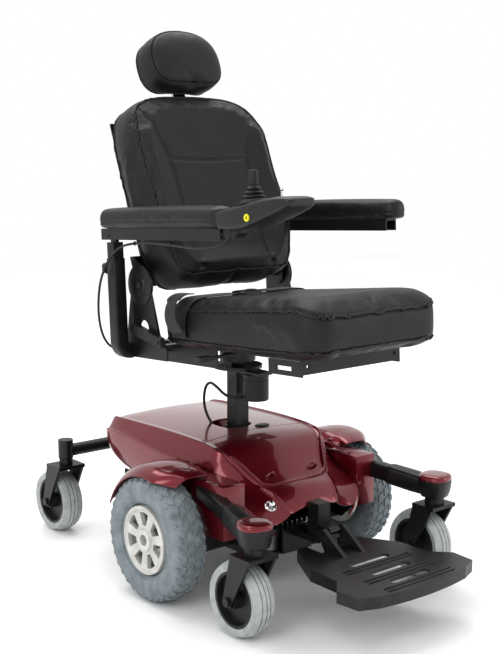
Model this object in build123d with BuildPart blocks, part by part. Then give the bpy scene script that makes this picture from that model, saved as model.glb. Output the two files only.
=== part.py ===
from build123d import *
import os
from math import cos, pi, radians, sin

# Six-wheeled power wheelchair: mid-wheel drive base with a lifting, swivelling captain's seat.
# Millimetres. The origin is on the ground in the middle of the chair's footprint,
# +Z is up, -Y is the way the chair drives and +X is the sitter's left.
os.makedirs("parts", exist_ok=True)
SIDES = {"left": 1, "right": -1}

# ---- driving dimensions: running gear ----
axle_y = -45.0  # drive axle, from the middle of the footprint
drive_d = 266.7  # 3.00-4 drive tyre
drive_w = 82.0
drive_x = 271.0  # drive wheel's middle plane
rim_d = 146.0  # bead seat of the drive rim
caster_d = 152.4  # 6 in caster
caster_w = 52.0
caster_hub_d = 112.0
trail = 38.5  # caster axle behind its swivel
front_stem_x = 254.5
front_stem_y = axle_y - 298.0
rear_stem_x = 199.5
rear_stem_y = axle_y + 486.5
fork_w = 72.5  # over the fork's legs
fork_t = 6.0
fork_crown_z = 174.0  # top of a fork's crown
axle_bolt_d = 12.0

# ---- driving dimensions: chassis ----
tray_w = 210.0
tray_z = 80.0
tray_t = 5.0
tray_front = axle_y - 130.0
tray_rear = axle_y + 372.0
tray_wall_h = 90.0
arm_pivot_y = axle_y - 50.0
arm_pivot_z = 237.0
arm_pivot_x = 195.0
arm_w = 34.0  # front arm across
arm_h = 38.0  # front arm deep
beam_z = 206.5  # rear beam's centre line
beam_d = 30.0
wall = 3.5  # shroud wall
battery = (196.0, 131.0, 158.0)
running_gap = 0.05  # radial clearance of a turning fit

# ---- driving dimensions: seat lift ----
post_y = axle_y + 66.0
column_w = 43.0
column_top = 318.0
post_w = 36.0
post_top = 452.0
swivel_d = 110.0
swivel_t = 8.0
motor_d = 56.0
motor_bottom = 388.0

# ---- driving dimensions: seat, measured in the seat's own tilted frame ----
seat_z = 470.0
seat_tilt = 3.0
cushion_w = 378.0
cushion_front = -459.0
cushion_rear = 39.0
cushion_bottom = 54.0
cushion_top_front = 157.0
cushion_top_rear = 136.0
rail_x = 100.0
front_rail_y = -365.0
front_rail_w = 273.0
recline_y = 80.0
recline_z = 178.0
back_lean = 18.5
back_w = 390.0
back_front = -82.0
back_rear = 20.0
back_top = 424.0
arm_x = cushion_w / 2 + 37
arm_post_y = 130.0
arm_post_w = 25.0
tube_w = 31.0
arm_hinge_z = 285.0
pad_w = 56.0
pad_front = -293.0
pad_rear = 163.0
pad_bottom = 302.0
pad_top = 345.0
stick_y = -347.0
stick_z = 350.0
soft_gap = 1.0
accessory_pitch = 240.0
accessory_hole_r = 3.5

SEAT = Plane(
    origin=(0, post_y, seat_z),
    x_dir=(1, 0, 0),
    z_dir=(0, sin(radians(seat_tilt)), cos(radians(seat_tilt))),
)
SEAT_UP = Axis(SEAT.origin, SEAT.z_dir)


def seat_plane(base):
    """A plane given in the seat's frame, placed in the chair's frame."""
    return Plane(SEAT.location * base.location)


BACK = seat_plane(
    Plane(
        origin=(0, recline_y, recline_z),
        x_dir=(1, 0, 0),
        z_dir=(0, sin(radians(back_lean)), cos(radians(back_lean))),
    )
)


def back_plane(base):
    """A plane given in the reclining back's frame, placed in the chair's frame."""
    return Plane(BACK.location * base.location)


def wheel_plane(centre, side):
    """Section plane of a wheel: x runs out from the axle and y runs along it, outwards."""
    return Plane(origin=centre, x_dir=(0, 0, 1), z_dir=(0, side, 0))


# ======== chassis ========

# ---- base frame: tray, column socket, cross member with arm pins, spine for the rear beam ----
tray_l = tray_rear - tray_front
tray_y = (tray_rear + tray_front) / 2
arm_pin_r = 8.0
cross_w = 36.0
cross_z = 220.0
cross_h = 34.0
cross_half = 150.0
spine_w = 40.0
spine_rear = rear_stem_y - 24.0
beam_pin_r = 10.0
with BuildPart() as base_frame:
    with Locations((0, tray_y, tray_z + tray_t / 2)):
        Box(tray_w, tray_l, tray_t)
    for side in SIDES.values():
        with Locations((side * (tray_w / 2 - 2.5), tray_y, tray_z + tray_wall_h / 2)):
            Box(5, tray_l, tray_wall_h)
    with Locations((0, tray_rear - 2.5, tray_z + (beam_z + 25 - tray_z) / 2)):
        Box(120, 5, beam_z + 25 - tray_z)
    # spine that reaches back to the rear beam
    with Locations((0, (tray_rear + spine_rear) / 2, beam_z)):
        Box(spine_w, spine_rear - tray_rear, spine_w)
    with BuildSketch(Plane.XZ.offset(-spine_rear)):
        with Locations((0, beam_z)):
            Circle(beam_pin_r)
    extrude(amount=-50)
    # front uprights, cross member and the two arm pins
    for side in SIDES.values():
        with Locations((side * (tray_w / 2 - 2.5), arm_pivot_y, (tray_z + cross_z) / 2 + 10)):
            Box(5, cross_w, cross_z - tray_z + 20)
    with Locations((0, arm_pivot_y, cross_z + cross_h / 2)):
        Box(2 * cross_half, cross_w, cross_h)
    with Locations((0, arm_pivot_y, arm_pivot_z)):
        Cylinder(arm_pin_r, 2 * (arm_pivot_x + arm_w / 2) + 2, rotation=(0, 90, 0))
    # column socket
    with Locations((0, post_y, tray_z + tray_t + 15)):
        Box(column_w + 12, column_w + 12, 30)
    with BuildSketch(Plane.XY.offset(tray_z + tray_t)):
        with Locations((0, post_y)):
            Rectangle(column_w, column_w)
    extrude(amount=40, mode=Mode.SUBTRACT)
base_frame.part.label = "base_frame"
export_step(base_frame.part, "parts/base_frame.step")

# ---- seat column: square tube standing in the socket ----
with BuildPart() as seat_column:
    with BuildSketch(Plane.XY.offset(tray_z + tray_t)):
        with Locations((0, post_y)):
            RectangleRounded(column_w, column_w, 3)
            Rectangle(post_w + 1, post_w + 1, mode=Mode.SUBTRACT)
    extrude(amount=column_top - tray_z - tray_t)
seat_column.part.label = "seat_column"
export_step(seat_column.part, "parts/seat_column.step")

# ---- batteries: two sealed blocks, one behind the other, behind the column ----
battery_y = post_y + column_w / 2 + 8 + battery[1] / 2
battery_pitch = battery[1] + 4
with BuildPart() as batteries:
    for place in (battery_y, battery_y + battery_pitch):
        with Locations((0, place, tray_z + tray_t + battery[2] / 2)):
            Box(*battery)
    fillet(batteries.edges().filter_by(Axis.Z), 4)
    for place in (battery_y, battery_y + battery_pitch):
        with Locations((-70, place, tray_z + tray_t + battery[2] + 5), (70, place, tray_z + tray_t + battery[2] + 5)):
            Cylinder(8, 10)
batteries.part.label = "batteries"
export_step(batteries.part, "parts/batteries.step")

# ---- power module: finned drive controller on the tray's front ----
with BuildPart() as power_module:
    with Locations((0, axle_y - 70, tray_z + tray_t + 24)):
        Box(150, 100, 48)
    with Locations((0, axle_y - 70, tray_z + tray_t + 53)):
        with GridLocations(14, 0, 9, 1):
            Box(4, 100, 10)
power_module.part.label = "power_module"
export_step(power_module.part, "parts/power_module.step")

# ---- gearmotors: right-angle gearbox at the axle, motor pointing rearwards ----
drive_z = drive_d / 2
gear_in = tray_w / 2
gear_out = drive_x - drive_w / 2 - 6
shaft_r = 12.0
motor_r = 42.0
motor_x = gear_in + motor_r + 2
fender_gap = 16.0  # tyre to fender
fender_t = 4.0
fender_post_x = 203.0
fender_post_w = 20.0
fender_r = drive_d / 2 + fender_gap
flange_r = fender_r + 0.5
lever_x = gear_out - 14
lever_y = axle_y + 84
lever_z = drive_z + 20
lever_pin_r = 4.0
for name, side in SIDES.items():
    with BuildPart() as gearmotor:
        with Locations((side * (gear_in + gear_out) / 2, axle_y, drive_z)):
            Box(gear_out - gear_in, 96, 90)
        fillet(gearmotor.edges().filter_by(Axis.X), 14)
        with Locations((side * motor_x, axle_y + 119, drive_z)):
            Cylinder(motor_r, 142, rotation=(90, 0, 0))
        with Locations((side * motor_x, axle_y + 195, drive_z)):
            Cylinder(motor_r - 6, 10, rotation=(90, 0, 0))
        # upright that carries the fender
        with BuildSketch(Plane.YZ.offset(side * (fender_post_x - fender_post_w / 2))):
            with Locations((axle_y + 10, drive_z + 110)):
                Rectangle(30, 160)
            with Locations((axle_y, drive_z)):
                Circle(flange_r, mode=Mode.INTERSECT)
        extrude(amount=side * fender_post_w)
        # lug and pin for the freewheel lever
        with Locations((side * (lever_x - 9), (axle_y + 40 + lever_y + 9) / 2, lever_z)):
            Box(8, lever_y + 9 - axle_y - 40, 18)
        with Locations((side * (lever_x - 3), lever_y, lever_z)):
            Cylinder(lever_pin_r, 16, rotation=(0, 90, 0))
        with Locations((side * (gear_out - 10), axle_y, drive_z)):
            Cylinder(shaft_r + running_gap, 24, rotation=(0, 90, 0), mode=Mode.SUBTRACT)
    gearmotor.part.label = f"gearmotor_{name}"
    export_step(gearmotor.part, f"parts/gearmotor_{name}.step")

# ---- fenders: rolled over the drive tyres, with a flange screwed to the upright ----
fender_in = drive_x - drive_w / 2 - 8
fender_out = drive_x + drive_w / 2 - 8
for name, side in SIDES.items():
    with BuildPart() as fender:
        with BuildSketch(Plane.YZ.offset(side * fender_in)):
            with BuildLine():
                outer = CenterArc((axle_y, drive_z), fender_r + fender_t, 26, 102)
                inner = CenterArc((axle_y, drive_z), fender_r, 26, 102)
                Line(outer @ 0, inner @ 0)
                Line(outer @ 1, inner @ 1)
            make_face()
        extrude(amount=side * (fender_out - fender_in))
        # rolled outer lip
        with BuildSketch(Plane.YZ.offset(side * (fender_out - 4))):
            with BuildLine():
                outer = CenterArc((axle_y, drive_z), fender_r + 1, 26, 102)
                inner = CenterArc((axle_y, drive_z), fender_r - 8, 26, 102)
                Line(outer @ 0, inner @ 0)
                Line(outer @ 1, inner @ 1)
            make_face()
        extrude(amount=side * 4)
        # flange over the upright
        with BuildSketch(Plane.YZ.offset(side * (fender_post_x - fender_post_w / 2))):
            with BuildLine():
                outer = CenterArc((axle_y, drive_z), fender_r + fender_t, 68, 36)
                inner = CenterArc((axle_y, drive_z), flange_r, 68, 36)
                Line(outer @ 0, inner @ 0)
                Line(outer @ 1, inner @ 1)
            make_face()
        extrude(amount=side * (fender_in - fender_post_x + 12))
        # front corner cut back on a slant, clear of the front arm
        with BuildSketch(Plane.XY.offset(drive_z)):
            with BuildLine():
                Polyline(
                    (side * (fender_in - 1), axle_y - 86),
                    (side * (fender_out + 1), axle_y - 46),
                    (side * (fender_out + 1), axle_y - 160),
                    (side * (fender_in - 1), axle_y - 160),
                    close=True,
                )
            make_face()
        extrude(amount=300, mode=Mode.SUBTRACT)
    fender.part.label = f"fender_{name}"
    export_step(fender.part, f"parts/fender_{name}.step")

# ---- shroud: one moulded skin from the nose to the tail, then parted into body and lid ----
# each station: y from the axle, half width and height of the hem, of the lower ridge,
# of the upper ridge, and the crown's height
stations = [
    (-186, 128, 152, 138, 176, 72, 190, 196),
    (-158, 150, 156, 158, 196, 84, 226, 236),
    (-115, 158, 176, 168, 218, 104, 256, 272),
    (-60, 164, 196, 172, 238, 132, 292, 304),
    (20, 168, 200, 174, 262, 148, 312, 322),
    (150, 169, 200, 175, 276, 152, 314, 322),
    (300, 166, 216, 172, 286, 150, 308, 314),
    (374, 146, 246, 156, 280, 136, 298, 302),
]


def shroud_section(station, inset, drop):
    """Closed outline of one station, inset by a wall thickness and open downwards by drop."""
    y, hem_x, hem_z, low_x, low_z, high_x, high_z, crown = station
    with BuildSketch(Plane.XZ.offset(-(axle_y + y))) as section:
        with BuildLine():
            Polyline(
                (hem_x - inset, hem_z - drop),
                (low_x - inset, low_z - inset * 0.4),
                (high_x - inset * 0.6, high_z - inset),
                (0, crown - inset),
                (-high_x + inset * 0.6, high_z - inset),
                (-low_x + inset, low_z - inset * 0.4),
                (-hem_x + inset, hem_z - drop),
                close=True,
            )
        make_face()
    return section.sketch


inner_stations = [(s[0] + (wall if i == 0 else -wall if i == len(stations) - 1 else 0), *s[1:]) for i, s in enumerate(stations)]
with BuildPart() as skin:
    for station in stations:
        add(shroud_section(station, 0, 0))
    loft(ruled=True)
    loft([shroud_section(station, wall, 60) for station in inner_stations], ruled=True, mode=Mode.SUBTRACT)

lid_rear = axle_y + 6
lid_outline = [(145, 6), (131, -60), (106, -108), (88, -140), (60, -150)]
lid_gap = 0.8


def lid_cutter(grow):
    """Prism over the lid's outline, grown by a parting gap."""
    right = [(x + grow, axle_y + y - (grow if y < 0 else -grow)) for x, y in lid_outline]
    left = [(-x, y) for x, y in reversed(right)]
    with BuildPart() as cutter:
        with BuildSketch(Plane.XY.offset(212)):
            with BuildLine():
                Polyline(*right, *left, close=True)
            make_face()
        extrude(amount=200)
    return cutter.part


with BuildPart() as shroud_body:
    add(skin.part)
    add(lid_cutter(lid_gap), mode=Mode.SUBTRACT)
    # window for the column, its cable and the lift
    with Locations((-8, post_y + 14, 300)):
        Box(80, column_w + 45, 120, mode=Mode.SUBTRACT)
    # arches over the front arms
    for side in SIDES.values():
        with Locations((side * 185, axle_y - 78, 202)):
            Box(50, 150, 124, mode=Mode.SUBTRACT)
shroud_body.part.label = "shroud_body"
export_step(shroud_body.part, "parts/shroud_body.step")

with BuildPart() as shroud_lid:
    add(skin.part)
    add(lid_cutter(0), mode=Mode.INTERSECT)
    # two raised finger tabs at the front edge
    for side in SIDES.values():
        with Locations((side * 60, axle_y - 118, 267)):
            Box(16, 22, 14, rotation=(18, 0, 0))
shroud_lid.part.label = "shroud_lid"
export_step(shroud_lid.part, "parts/shroud_lid.step")

# ---- freewheel levers: on a pin in the gearbox, grip standing between shroud and fender ----
lever_top = 262.0
for name, side in SIDES.items():
    with BuildPart() as lever:
        with Locations((side * lever_x, lever_y, lever_z)):
            Cylinder(9, 8, rotation=(0, 90, 0))
        with Locations((side * lever_x, lever_y, (lever_z + lever_top) / 2)):
            Box(5, 12, lever_top - lever_z)
        with Locations((side * lever_x, lever_y - 3, lever_top)):
            Box(11, 30, 12)
        fillet(lever.edges().filter_by(Axis.X).group_by(Axis.Z)[-1], 4)
        with Locations((side * lever_x, lever_y, lever_z)):
            Cylinder(lever_pin_r + running_gap, 12, rotation=(0, 90, 0), mode=Mode.SUBTRACT)
    lever.part.label = f"freewheel_lever_{name}"
    export_step(lever.part, f"parts/freewheel_lever_{name}.step")

# ======== wheels ========

# ---- drive tyres ----
tread_half = drive_w / 2 - 7
for name, side in SIDES.items():
    centre = (side * drive_x, axle_y, drive_z)
    with BuildPart() as drive_tyre:
        with BuildSketch(wheel_plane(centre, side)):
            with BuildLine():
                Line((rim_d / 2, -24), (rim_d / 2, 24))
                ThreePointArc((rim_d / 2, 24), (rim_d / 2 + 30, drive_w / 2), (drive_z - 14, tread_half + 4))
                ThreePointArc((drive_z - 14, tread_half + 4), (drive_z - 5, tread_half - 3), (drive_z - 1.5, tread_half - 14))
                ThreePointArc((drive_z - 1.5, tread_half - 14), (drive_z, 0), (drive_z - 1.5, -tread_half + 14))
                ThreePointArc((drive_z - 1.5, -tread_half + 14), (drive_z - 5, -tread_half + 3), (drive_z - 14, -tread_half - 4))
                ThreePointArc((drive_z - 14, -tread_half - 4), (rim_d / 2 + 30, -drive_w / 2), (rim_d / 2, -24))
            make_face()
        revolve(axis=Axis(centre, (1, 0, 0)))
    drive_tyre.part.label = f"drive_tyre_{name}"
    export_step(drive_tyre.part, f"parts/drive_tyre_{name}.step")

# ---- drive rims: seven windows, with the gearbox's output shaft standing in the hub ----
rim_face = drive_w / 2 - 4
for name, side in SIDES.items():
    centre = (side * drive_x, axle_y, drive_z)
    plane = wheel_plane(centre, side)
    with BuildPart() as drive_rim:
        with BuildSketch(plane):
            with BuildLine():
                Polyline(
                    (shaft_r, -26),
                    (24, -26),
                    (24, rim_face - 16),
                    (rim_d / 2 - 12, rim_face - 14),
                    (rim_d / 2 - 12, -24),
                    (rim_d / 2, -24),
                    (rim_d / 2, 24),
                    (rim_d / 2 - 1, rim_face - 2),
                    (rim_d / 2 - 8, rim_face),
                    (rim_d / 2 - 12, rim_face - 4),
                    (24, rim_face - 6),
                    (22, rim_face - 2),
                    (shaft_r, rim_face - 2),
                    close=True,
                )
            make_face()
        revolve(axis=Axis(centre, (1, 0, 0)))
        with BuildSketch(Plane(origin=(side * (drive_x + rim_face + 5), axle_y, drive_z), x_dir=(0, 0, 1), z_dir=(side, 0, 0))):
            with PolarLocations(0, 7):
                Polygon((31, -6), (57, -15), (60, 0), (57, 15), (31, 6), align=None)
        extrude(amount=-30, mode=Mode.SUBTRACT)
    with BuildPart() as drive_shaft:
        with Locations((side * (gear_out - 20 + 40), axle_y, drive_z)):
            Cylinder(shaft_r, 80, rotation=(0, 90, 0))
    pair = Compound(children=[drive_rim.part.solids()[0], drive_shaft.part.solids()[0]])
    pair.label = f"drive_rim_{name}"
    export_step(pair, f"parts/drive_rim_{name}.step")


# ---- casters: fork with its axle bolt, tyre and hub at four corners ----
def caster(name, x, y, stem_r, stem_top, collar_r):
    """One swivelling caster: writes fork, tyre and hub, all trailing behind the stem."""
    hub_y = y + trail
    hub_z = caster_d / 2
    leg_x = fork_w / 2 - fork_t / 2
    with BuildPart() as fork:
        with Locations((x, y + 2, fork_crown_z - 4)):
            Box(fork_w, 60, 8)
        for side in (1, -1):
            with BuildSketch(Plane.YZ.offset(x + side * leg_x)):
                with BuildLine():
                    Polyline(
                        (y - 26, fork_crown_z - 3),
                        (y + 30, fork_crown_z - 3),
                        (hub_y + 14, hub_z),
                        (hub_y + 9, hub_z - 11),
                        (hub_y - 9, hub_z - 11),
                        (hub_y - 14, hub_z),
                        close=True,
                    )
                make_face()
            extrude(amount=fork_t / 2, both=True)
        with Locations((x, y, fork_crown_z + 7)):
            Cylinder(collar_r, 14)
        with Locations((x, y, (fork_crown_z + stem_top) / 2)):
            Cylinder(stem_r, stem_top - fork_crown_z)
        with Locations((x, hub_y, hub_z)):
            Cylinder(axle_bolt_d / 2, fork_w + 4, rotation=(0, 90, 0), mode=Mode.SUBTRACT)
    with BuildPart() as bolt:
        with Locations((x, hub_y, hub_z)):
            Cylinder(axle_bolt_d / 2, fork_w, rotation=(0, 90, 0))
        for side in (1, -1):
            with Locations((x + side * (fork_w / 2 + 2.5), hub_y, hub_z)):
                Cylinder(9, 5, rotation=(0, 90, 0))
    pair = Compound(children=[fork.part.solids()[0], bolt.part.solids()[0]])
    pair.label = f"{name}_fork"
    export_step(pair, f"parts/{name}_fork.step")

    centre = (x, hub_y, hub_z)
    half = caster_w / 2
    hub_r = caster_hub_d / 2
    with BuildPart() as tyre:
        with BuildSketch(wheel_plane(centre, 1)):
            with BuildLine():
                Polyline((hub_r, half - 4), (hub_r, -half + 4), (hub_z - 8, -half))
                ThreePointArc((hub_z - 8, -half), (hub_z, 0), (hub_z - 8, half))
                Line((hub_z - 8, half), (hub_r, half - 4))
            make_face()
        revolve(axis=Axis(centre, (1, 0, 0)))
        groove_r = hub_z - 4.5
        for offset in (-10, 0, 10):
            with BuildSketch(wheel_plane(centre, 1)):
                with Locations((groove_r + 4, offset)):
                    Rectangle(8, 2)
            revolve(axis=Axis(centre, (1, 0, 0)), mode=Mode.SUBTRACT)
    tyre.part.label = f"{name}_tyre"
    export_step(tyre.part, f"parts/{name}_tyre.step")

    hub_half = fork_w / 2 - fork_t - 1
    with BuildPart() as hub:
        with BuildSketch(wheel_plane(centre, 1)):
            with BuildLine():
                Polyline(
                    (axle_bolt_d / 2 + running_gap, hub_half),
                    (16, hub_half),
                    (18, 8),
                    (hub_r - 8, 8),
                    (hub_r - 6, half - 4),
                    (hub_r, half - 4),
                    (hub_r, -half + 4),
                    (hub_r - 6, -half + 4),
                    (hub_r - 8, -8),
                    (18, -8),
                    (16, -hub_half),
                    (axle_bolt_d / 2 + running_gap, -hub_half),
                    close=True,
                )
            make_face()
        revolve(axis=Axis(centre, (1, 0, 0)))
    hub.part.label = f"{name}_hub"
    export_step(hub.part, f"parts/{name}_hub.step")


front_stem_r = 12.0
rear_stem_r = 10.0
housing_bottom = fork_crown_z + 16
housing_top = 228.0
for name, side in SIDES.items():
    caster(f"front_{name}", side * front_stem_x, front_stem_y, front_stem_r, housing_top - 4, 21)
    caster(f"rear_{name}", side * rear_stem_x, rear_stem_y, rear_stem_r, 222, 16)

# ---- front arms: bar from the pivot to the caster's bearing housing ----
arm_end_z = 209.0
cap_r = 33.5
arm_vector = Vector(front_stem_x - arm_pivot_x, front_stem_y - arm_pivot_y, arm_end_z - arm_pivot_z)
for name, side in SIDES.items():
    along = Vector(side * arm_vector.X, arm_vector.Y, arm_vector.Z)
    start = Vector(side * arm_pivot_x, arm_pivot_y, arm_pivot_z)
    with BuildPart() as front_arm:
        with BuildSketch(Plane(origin=start, x_dir=Vector(0, 0, 1).cross(along), z_dir=along)):
            RectangleRounded(arm_w, arm_h, 8)
        extrude(amount=along.length - 22)
        with Locations((side * arm_pivot_x, arm_pivot_y, arm_pivot_z)):
            Cylinder(25, arm_w, rotation=(0, 90, 0))
        with Locations((side * front_stem_x, front_stem_y, (housing_bottom + housing_top) / 2)):
            Cylinder(32.5, housing_top - housing_bottom)
        with Locations((side * front_stem_x, front_stem_y, (housing_bottom + housing_top) / 2)):
            Cylinder(front_stem_r + running_gap, housing_top - housing_bottom + 2, mode=Mode.SUBTRACT)
        with Locations((side * front_stem_x, front_stem_y, housing_top + 10)):
            Cylinder(cap_r + soft_gap, 20, mode=Mode.SUBTRACT)
        with Locations((side * arm_pivot_x, arm_pivot_y, arm_pivot_z)):
            Cylinder(arm_pin_r + running_gap, arm_w + 20, rotation=(0, 90, 0), mode=Mode.SUBTRACT)
    front_arm.part.label = f"front_arm_{name}"
    export_step(front_arm.part, f"parts/front_arm_{name}.step")

    with BuildPart() as front_cap:
        with Locations((side * front_stem_x, front_stem_y, housing_top + 6)):
            Cylinder(cap_r, 12)
        fillet(front_cap.edges().group_by(Axis.Z)[-1], 5)
    front_cap.part.label = f"front_cap_{name}"
    export_step(front_cap.part, f"parts/front_cap_{name}.step")

# ---- rear beam: rocks on the spine's pin and carries both rear casters ----
beam_housing_top = 235.0
with BuildPart() as rear_beam:
    with Locations((0, rear_stem_y, beam_z)):
        Cylinder(beam_d / 2, 2 * (rear_stem_x - 14), rotation=(0, 90, 0))
        Cylinder(24, 40, rotation=(90, 0, 0))
    for side in SIDES.values():
        with Locations((side * rear_stem_x, rear_stem_y, (housing_bottom + beam_housing_top) / 2)):
            Cylinder(18, beam_housing_top - housing_bottom)
        with BuildSketch(Plane.XY.offset(housing_bottom - 1)):
            with Locations((side * rear_stem_x, rear_stem_y)):
                Circle(rear_stem_r + running_gap)
        extrude(amount=225 - housing_bottom, mode=Mode.SUBTRACT)
    with Locations((0, rear_stem_y, beam_z)):
        Cylinder(beam_pin_r + running_gap, 60, rotation=(90, 0, 0), mode=Mode.SUBTRACT)
rear_beam.part.label = "rear_beam"
export_step(rear_beam.part, "parts/rear_beam.step")

# ======== footplate ========
foot_hinge_y = axle_y - 246.0
foot_hinge_z = 152.0
foot_pin_r = 5.0
foot_top = 119.0
foot_post_w = 32.0
foot_post_y = axle_y + stations[0][0] - soft_gap - foot_post_w / 2
with BuildPart() as footplate_bracket:
    # tongue under the nose, upright post, two ears and the hinge pin
    with Locations((0, (tray_front + foot_post_y) / 2, 128)):
        Box(40, tray_front - foot_post_y, 14)
    with Locations((0, tray_front - 3, (tray_z + 135) / 2)):
        Box(80, 6, 135 - tray_z)
    with Locations((0, foot_post_y, 163)):
        Box(foot_post_w, foot_post_w, 84)
    with Locations((0, (foot_post_y - foot_post_w / 2 + foot_hinge_y) / 2, foot_hinge_z)):
        Box(26, foot_post_y - foot_post_w / 2 - foot_hinge_y, 16)
    with Locations((0, foot_hinge_y, foot_hinge_z)):
        Cylinder(8, 26, rotation=(0, 90, 0))
        Cylinder(foot_pin_r, 68, rotation=(0, 90, 0))
footplate_bracket.part.label = "footplate_bracket"
export_step(footplate_bracket.part, "parts/footplate_bracket.step")

# plan outline of the plate, half of it, from the rear notch round to the front edge's middle
foot_half = [
    (46, -262),
    (46, -212),
    (72, -216),
    (128, -318),
    (130, -394),
    (165, -430),
    (160, -484),
    (120, -500),
]
with BuildPart() as footplate:
    with BuildSketch(Plane.XY.offset(foot_top)):
        with BuildLine():
            right = [(x, axle_y + y) for x, y in foot_half]
            left = [(-x, y) for x, y in reversed(right)]
            Polyline(*right)
            ThreePointArc(right[-1], (0, axle_y - 511), left[0])
            Polyline(*left)
            Line(left[-1], right[0])
        make_face()
    extrude(amount=-24)
    # hollow underside leaves a skirt round the plate
    with BuildSketch(Plane.XY.offset(foot_top - 6)):
        with BuildLine():
            right = [(x - 5 if x > 50 else x + 5, axle_y + y - (6 if y > -262 and x < 80 else 0)) for x, y in foot_half[1:-2]]
            right = [(53, axle_y - 268), *right, (153, axle_y - 477), (116, axle_y - 492)]
            left = [(-x, y) for x, y in reversed(right)]
            Polyline(*right)
            ThreePointArc(right[-1], (0, axle_y - 503), left[0])
            Polyline(*left)
            Line(left[-1], right[0])
        make_face()
    extrude(amount=-30, mode=Mode.SUBTRACT)
    # three slots
    with BuildSketch(Plane.XY.offset(foot_top + 1)):
        for y in (-352, -410, -462):
            with Locations((0, axle_y + y)):
                SlotOverall(108, 20)
    extrude(amount=-12, mode=Mode.SUBTRACT)
    # two cheeks up to the hinge pin
    for side in SIDES.values():
        with BuildSketch(Plane.YZ.offset(side * 22)):
            with BuildLine():
                Polyline(
                    (foot_hinge_y + 11, foot_hinge_z + 4),
                    (foot_hinge_y - 4, foot_hinge_z + 11),
                    (axle_y - 312, foot_top),
                    (axle_y - 312, foot_top - 6),
                    (axle_y - 258, foot_top - 6),
                    (foot_hinge_y + 8, foot_hinge_z - 8),
                    close=True,
                )
            make_face()
        extrude(amount=side * 10)
    with Locations((0, foot_hinge_y, foot_hinge_z)):
        Cylinder(foot_pin_r + running_gap, 100, rotation=(0, 90, 0), mode=Mode.SUBTRACT)
footplate.part.label = "footplate"
export_step(footplate.part, "parts/footplate.step")

# ======== seat lift ========
with BuildPart() as lift_post:
    with BuildSketch(Plane.XY.offset(150)):
        with Locations((0, post_y)):
            RectangleRounded(post_w, post_w, 3)
    extrude(amount=post_top - 150)
    with Locations((0, post_y, post_top + swivel_t / 2 - 0.5)):
        Cylinder(swivel_d / 2, swivel_t - 1)
    # shelf that carries the motor
    with Locations((0, post_y - 50, post_top - 3)):
        Box(44, 86, 6)
    with Locations((0, post_y, post_top + 11)):
        Cylinder(14, 14)
lift_post.part.label = "lift_post"
export_step(lift_post.part, "parts/lift_post.step")

motor_y = post_y - 64.0
with BuildPart() as lift_motor:
    with Locations((0, motor_y, (motor_bottom + post_top - 6) / 2)):
        Cylinder(motor_d / 2, post_top - 6 - motor_bottom)
    fillet(lift_motor.edges().group_by(Axis.Z)[0], 3)
    with BuildSketch(Plane.XY.offset(post_top - 18)):
        with Locations((0, motor_y)):
            Circle(motor_d / 2 + 1)
            Circle(motor_d / 2 - 1.5, mode=Mode.SUBTRACT)
    extrude(amount=3, mode=Mode.SUBTRACT)
lift_motor.part.label = "lift_motor"
export_step(lift_motor.part, "parts/lift_motor.step")


def bend_radii(points, least):
    """Largest tangent radius at each inner point: 0.45 of the shorter run over tan(half turn)."""
    radii = []
    for before, here, after in zip(points, points[1:], points[2:]):
        a = Vector(*here) - Vector(*before)
        b = Vector(*after) - Vector(*here)
        turn = radians(a.get_angle(b))
        half_tangent = sin(turn / 2) / cos(turn / 2)
        radii.append(max(least, 0.45 * min(a.length, b.length) / half_tangent))
    return radii


# ---- lift motor's lead: out of the motor, up in a loop beside the post, down into the shroud ----
lead_d = 6.0
lead_route = [
    (-27.0, motor_y + 12, 396.0),
    (-44.0, motor_y + 20, 394.0),
    (-54.0, motor_y + 42, 398.0),
    (-57.0, motor_y + 68, 414.0),
    (-57.0, motor_y + 90, 421.0),
    (-54.0, motor_y + 110, 411.0),
    (-51.0, motor_y + 122, 388.0),
    (-48.0, motor_y + 126, 362.0),
    (-44.0, motor_y + 120, 337.0),
    (-38.0, motor_y + 106, 316.0),
    (-33.0, motor_y + 92, 300.0),
]


def cord(route, diameter, least):
    """Round lead along a hand-set route: straight runs joined by tangent arcs."""
    with BuildPart() as lead:
        with BuildLine() as path:
            radii = bend_radii(route, least)
            FilletPolyline(*route, radius=radii)
        wire = path.wires()[0]
        with BuildSketch(Plane(origin=wire @ 0, z_dir=wire % 0)):
            Circle(diameter / 2)
        sweep(path=wire)
    section = pi * diameter**2 / 4
    print("lead radii", [round(r) for r in radii], "length", round(wire.length))
    print("volume over section times length", round(lead.part.volume / (wire.length * section), 4))
    return lead.part


lift_cable = cord(lead_route, lead_d, 1)
lift_cable.label = "lift_cable"
export_step(lift_cable, "parts/lift_cable.step")

# ======== seat ========

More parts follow.
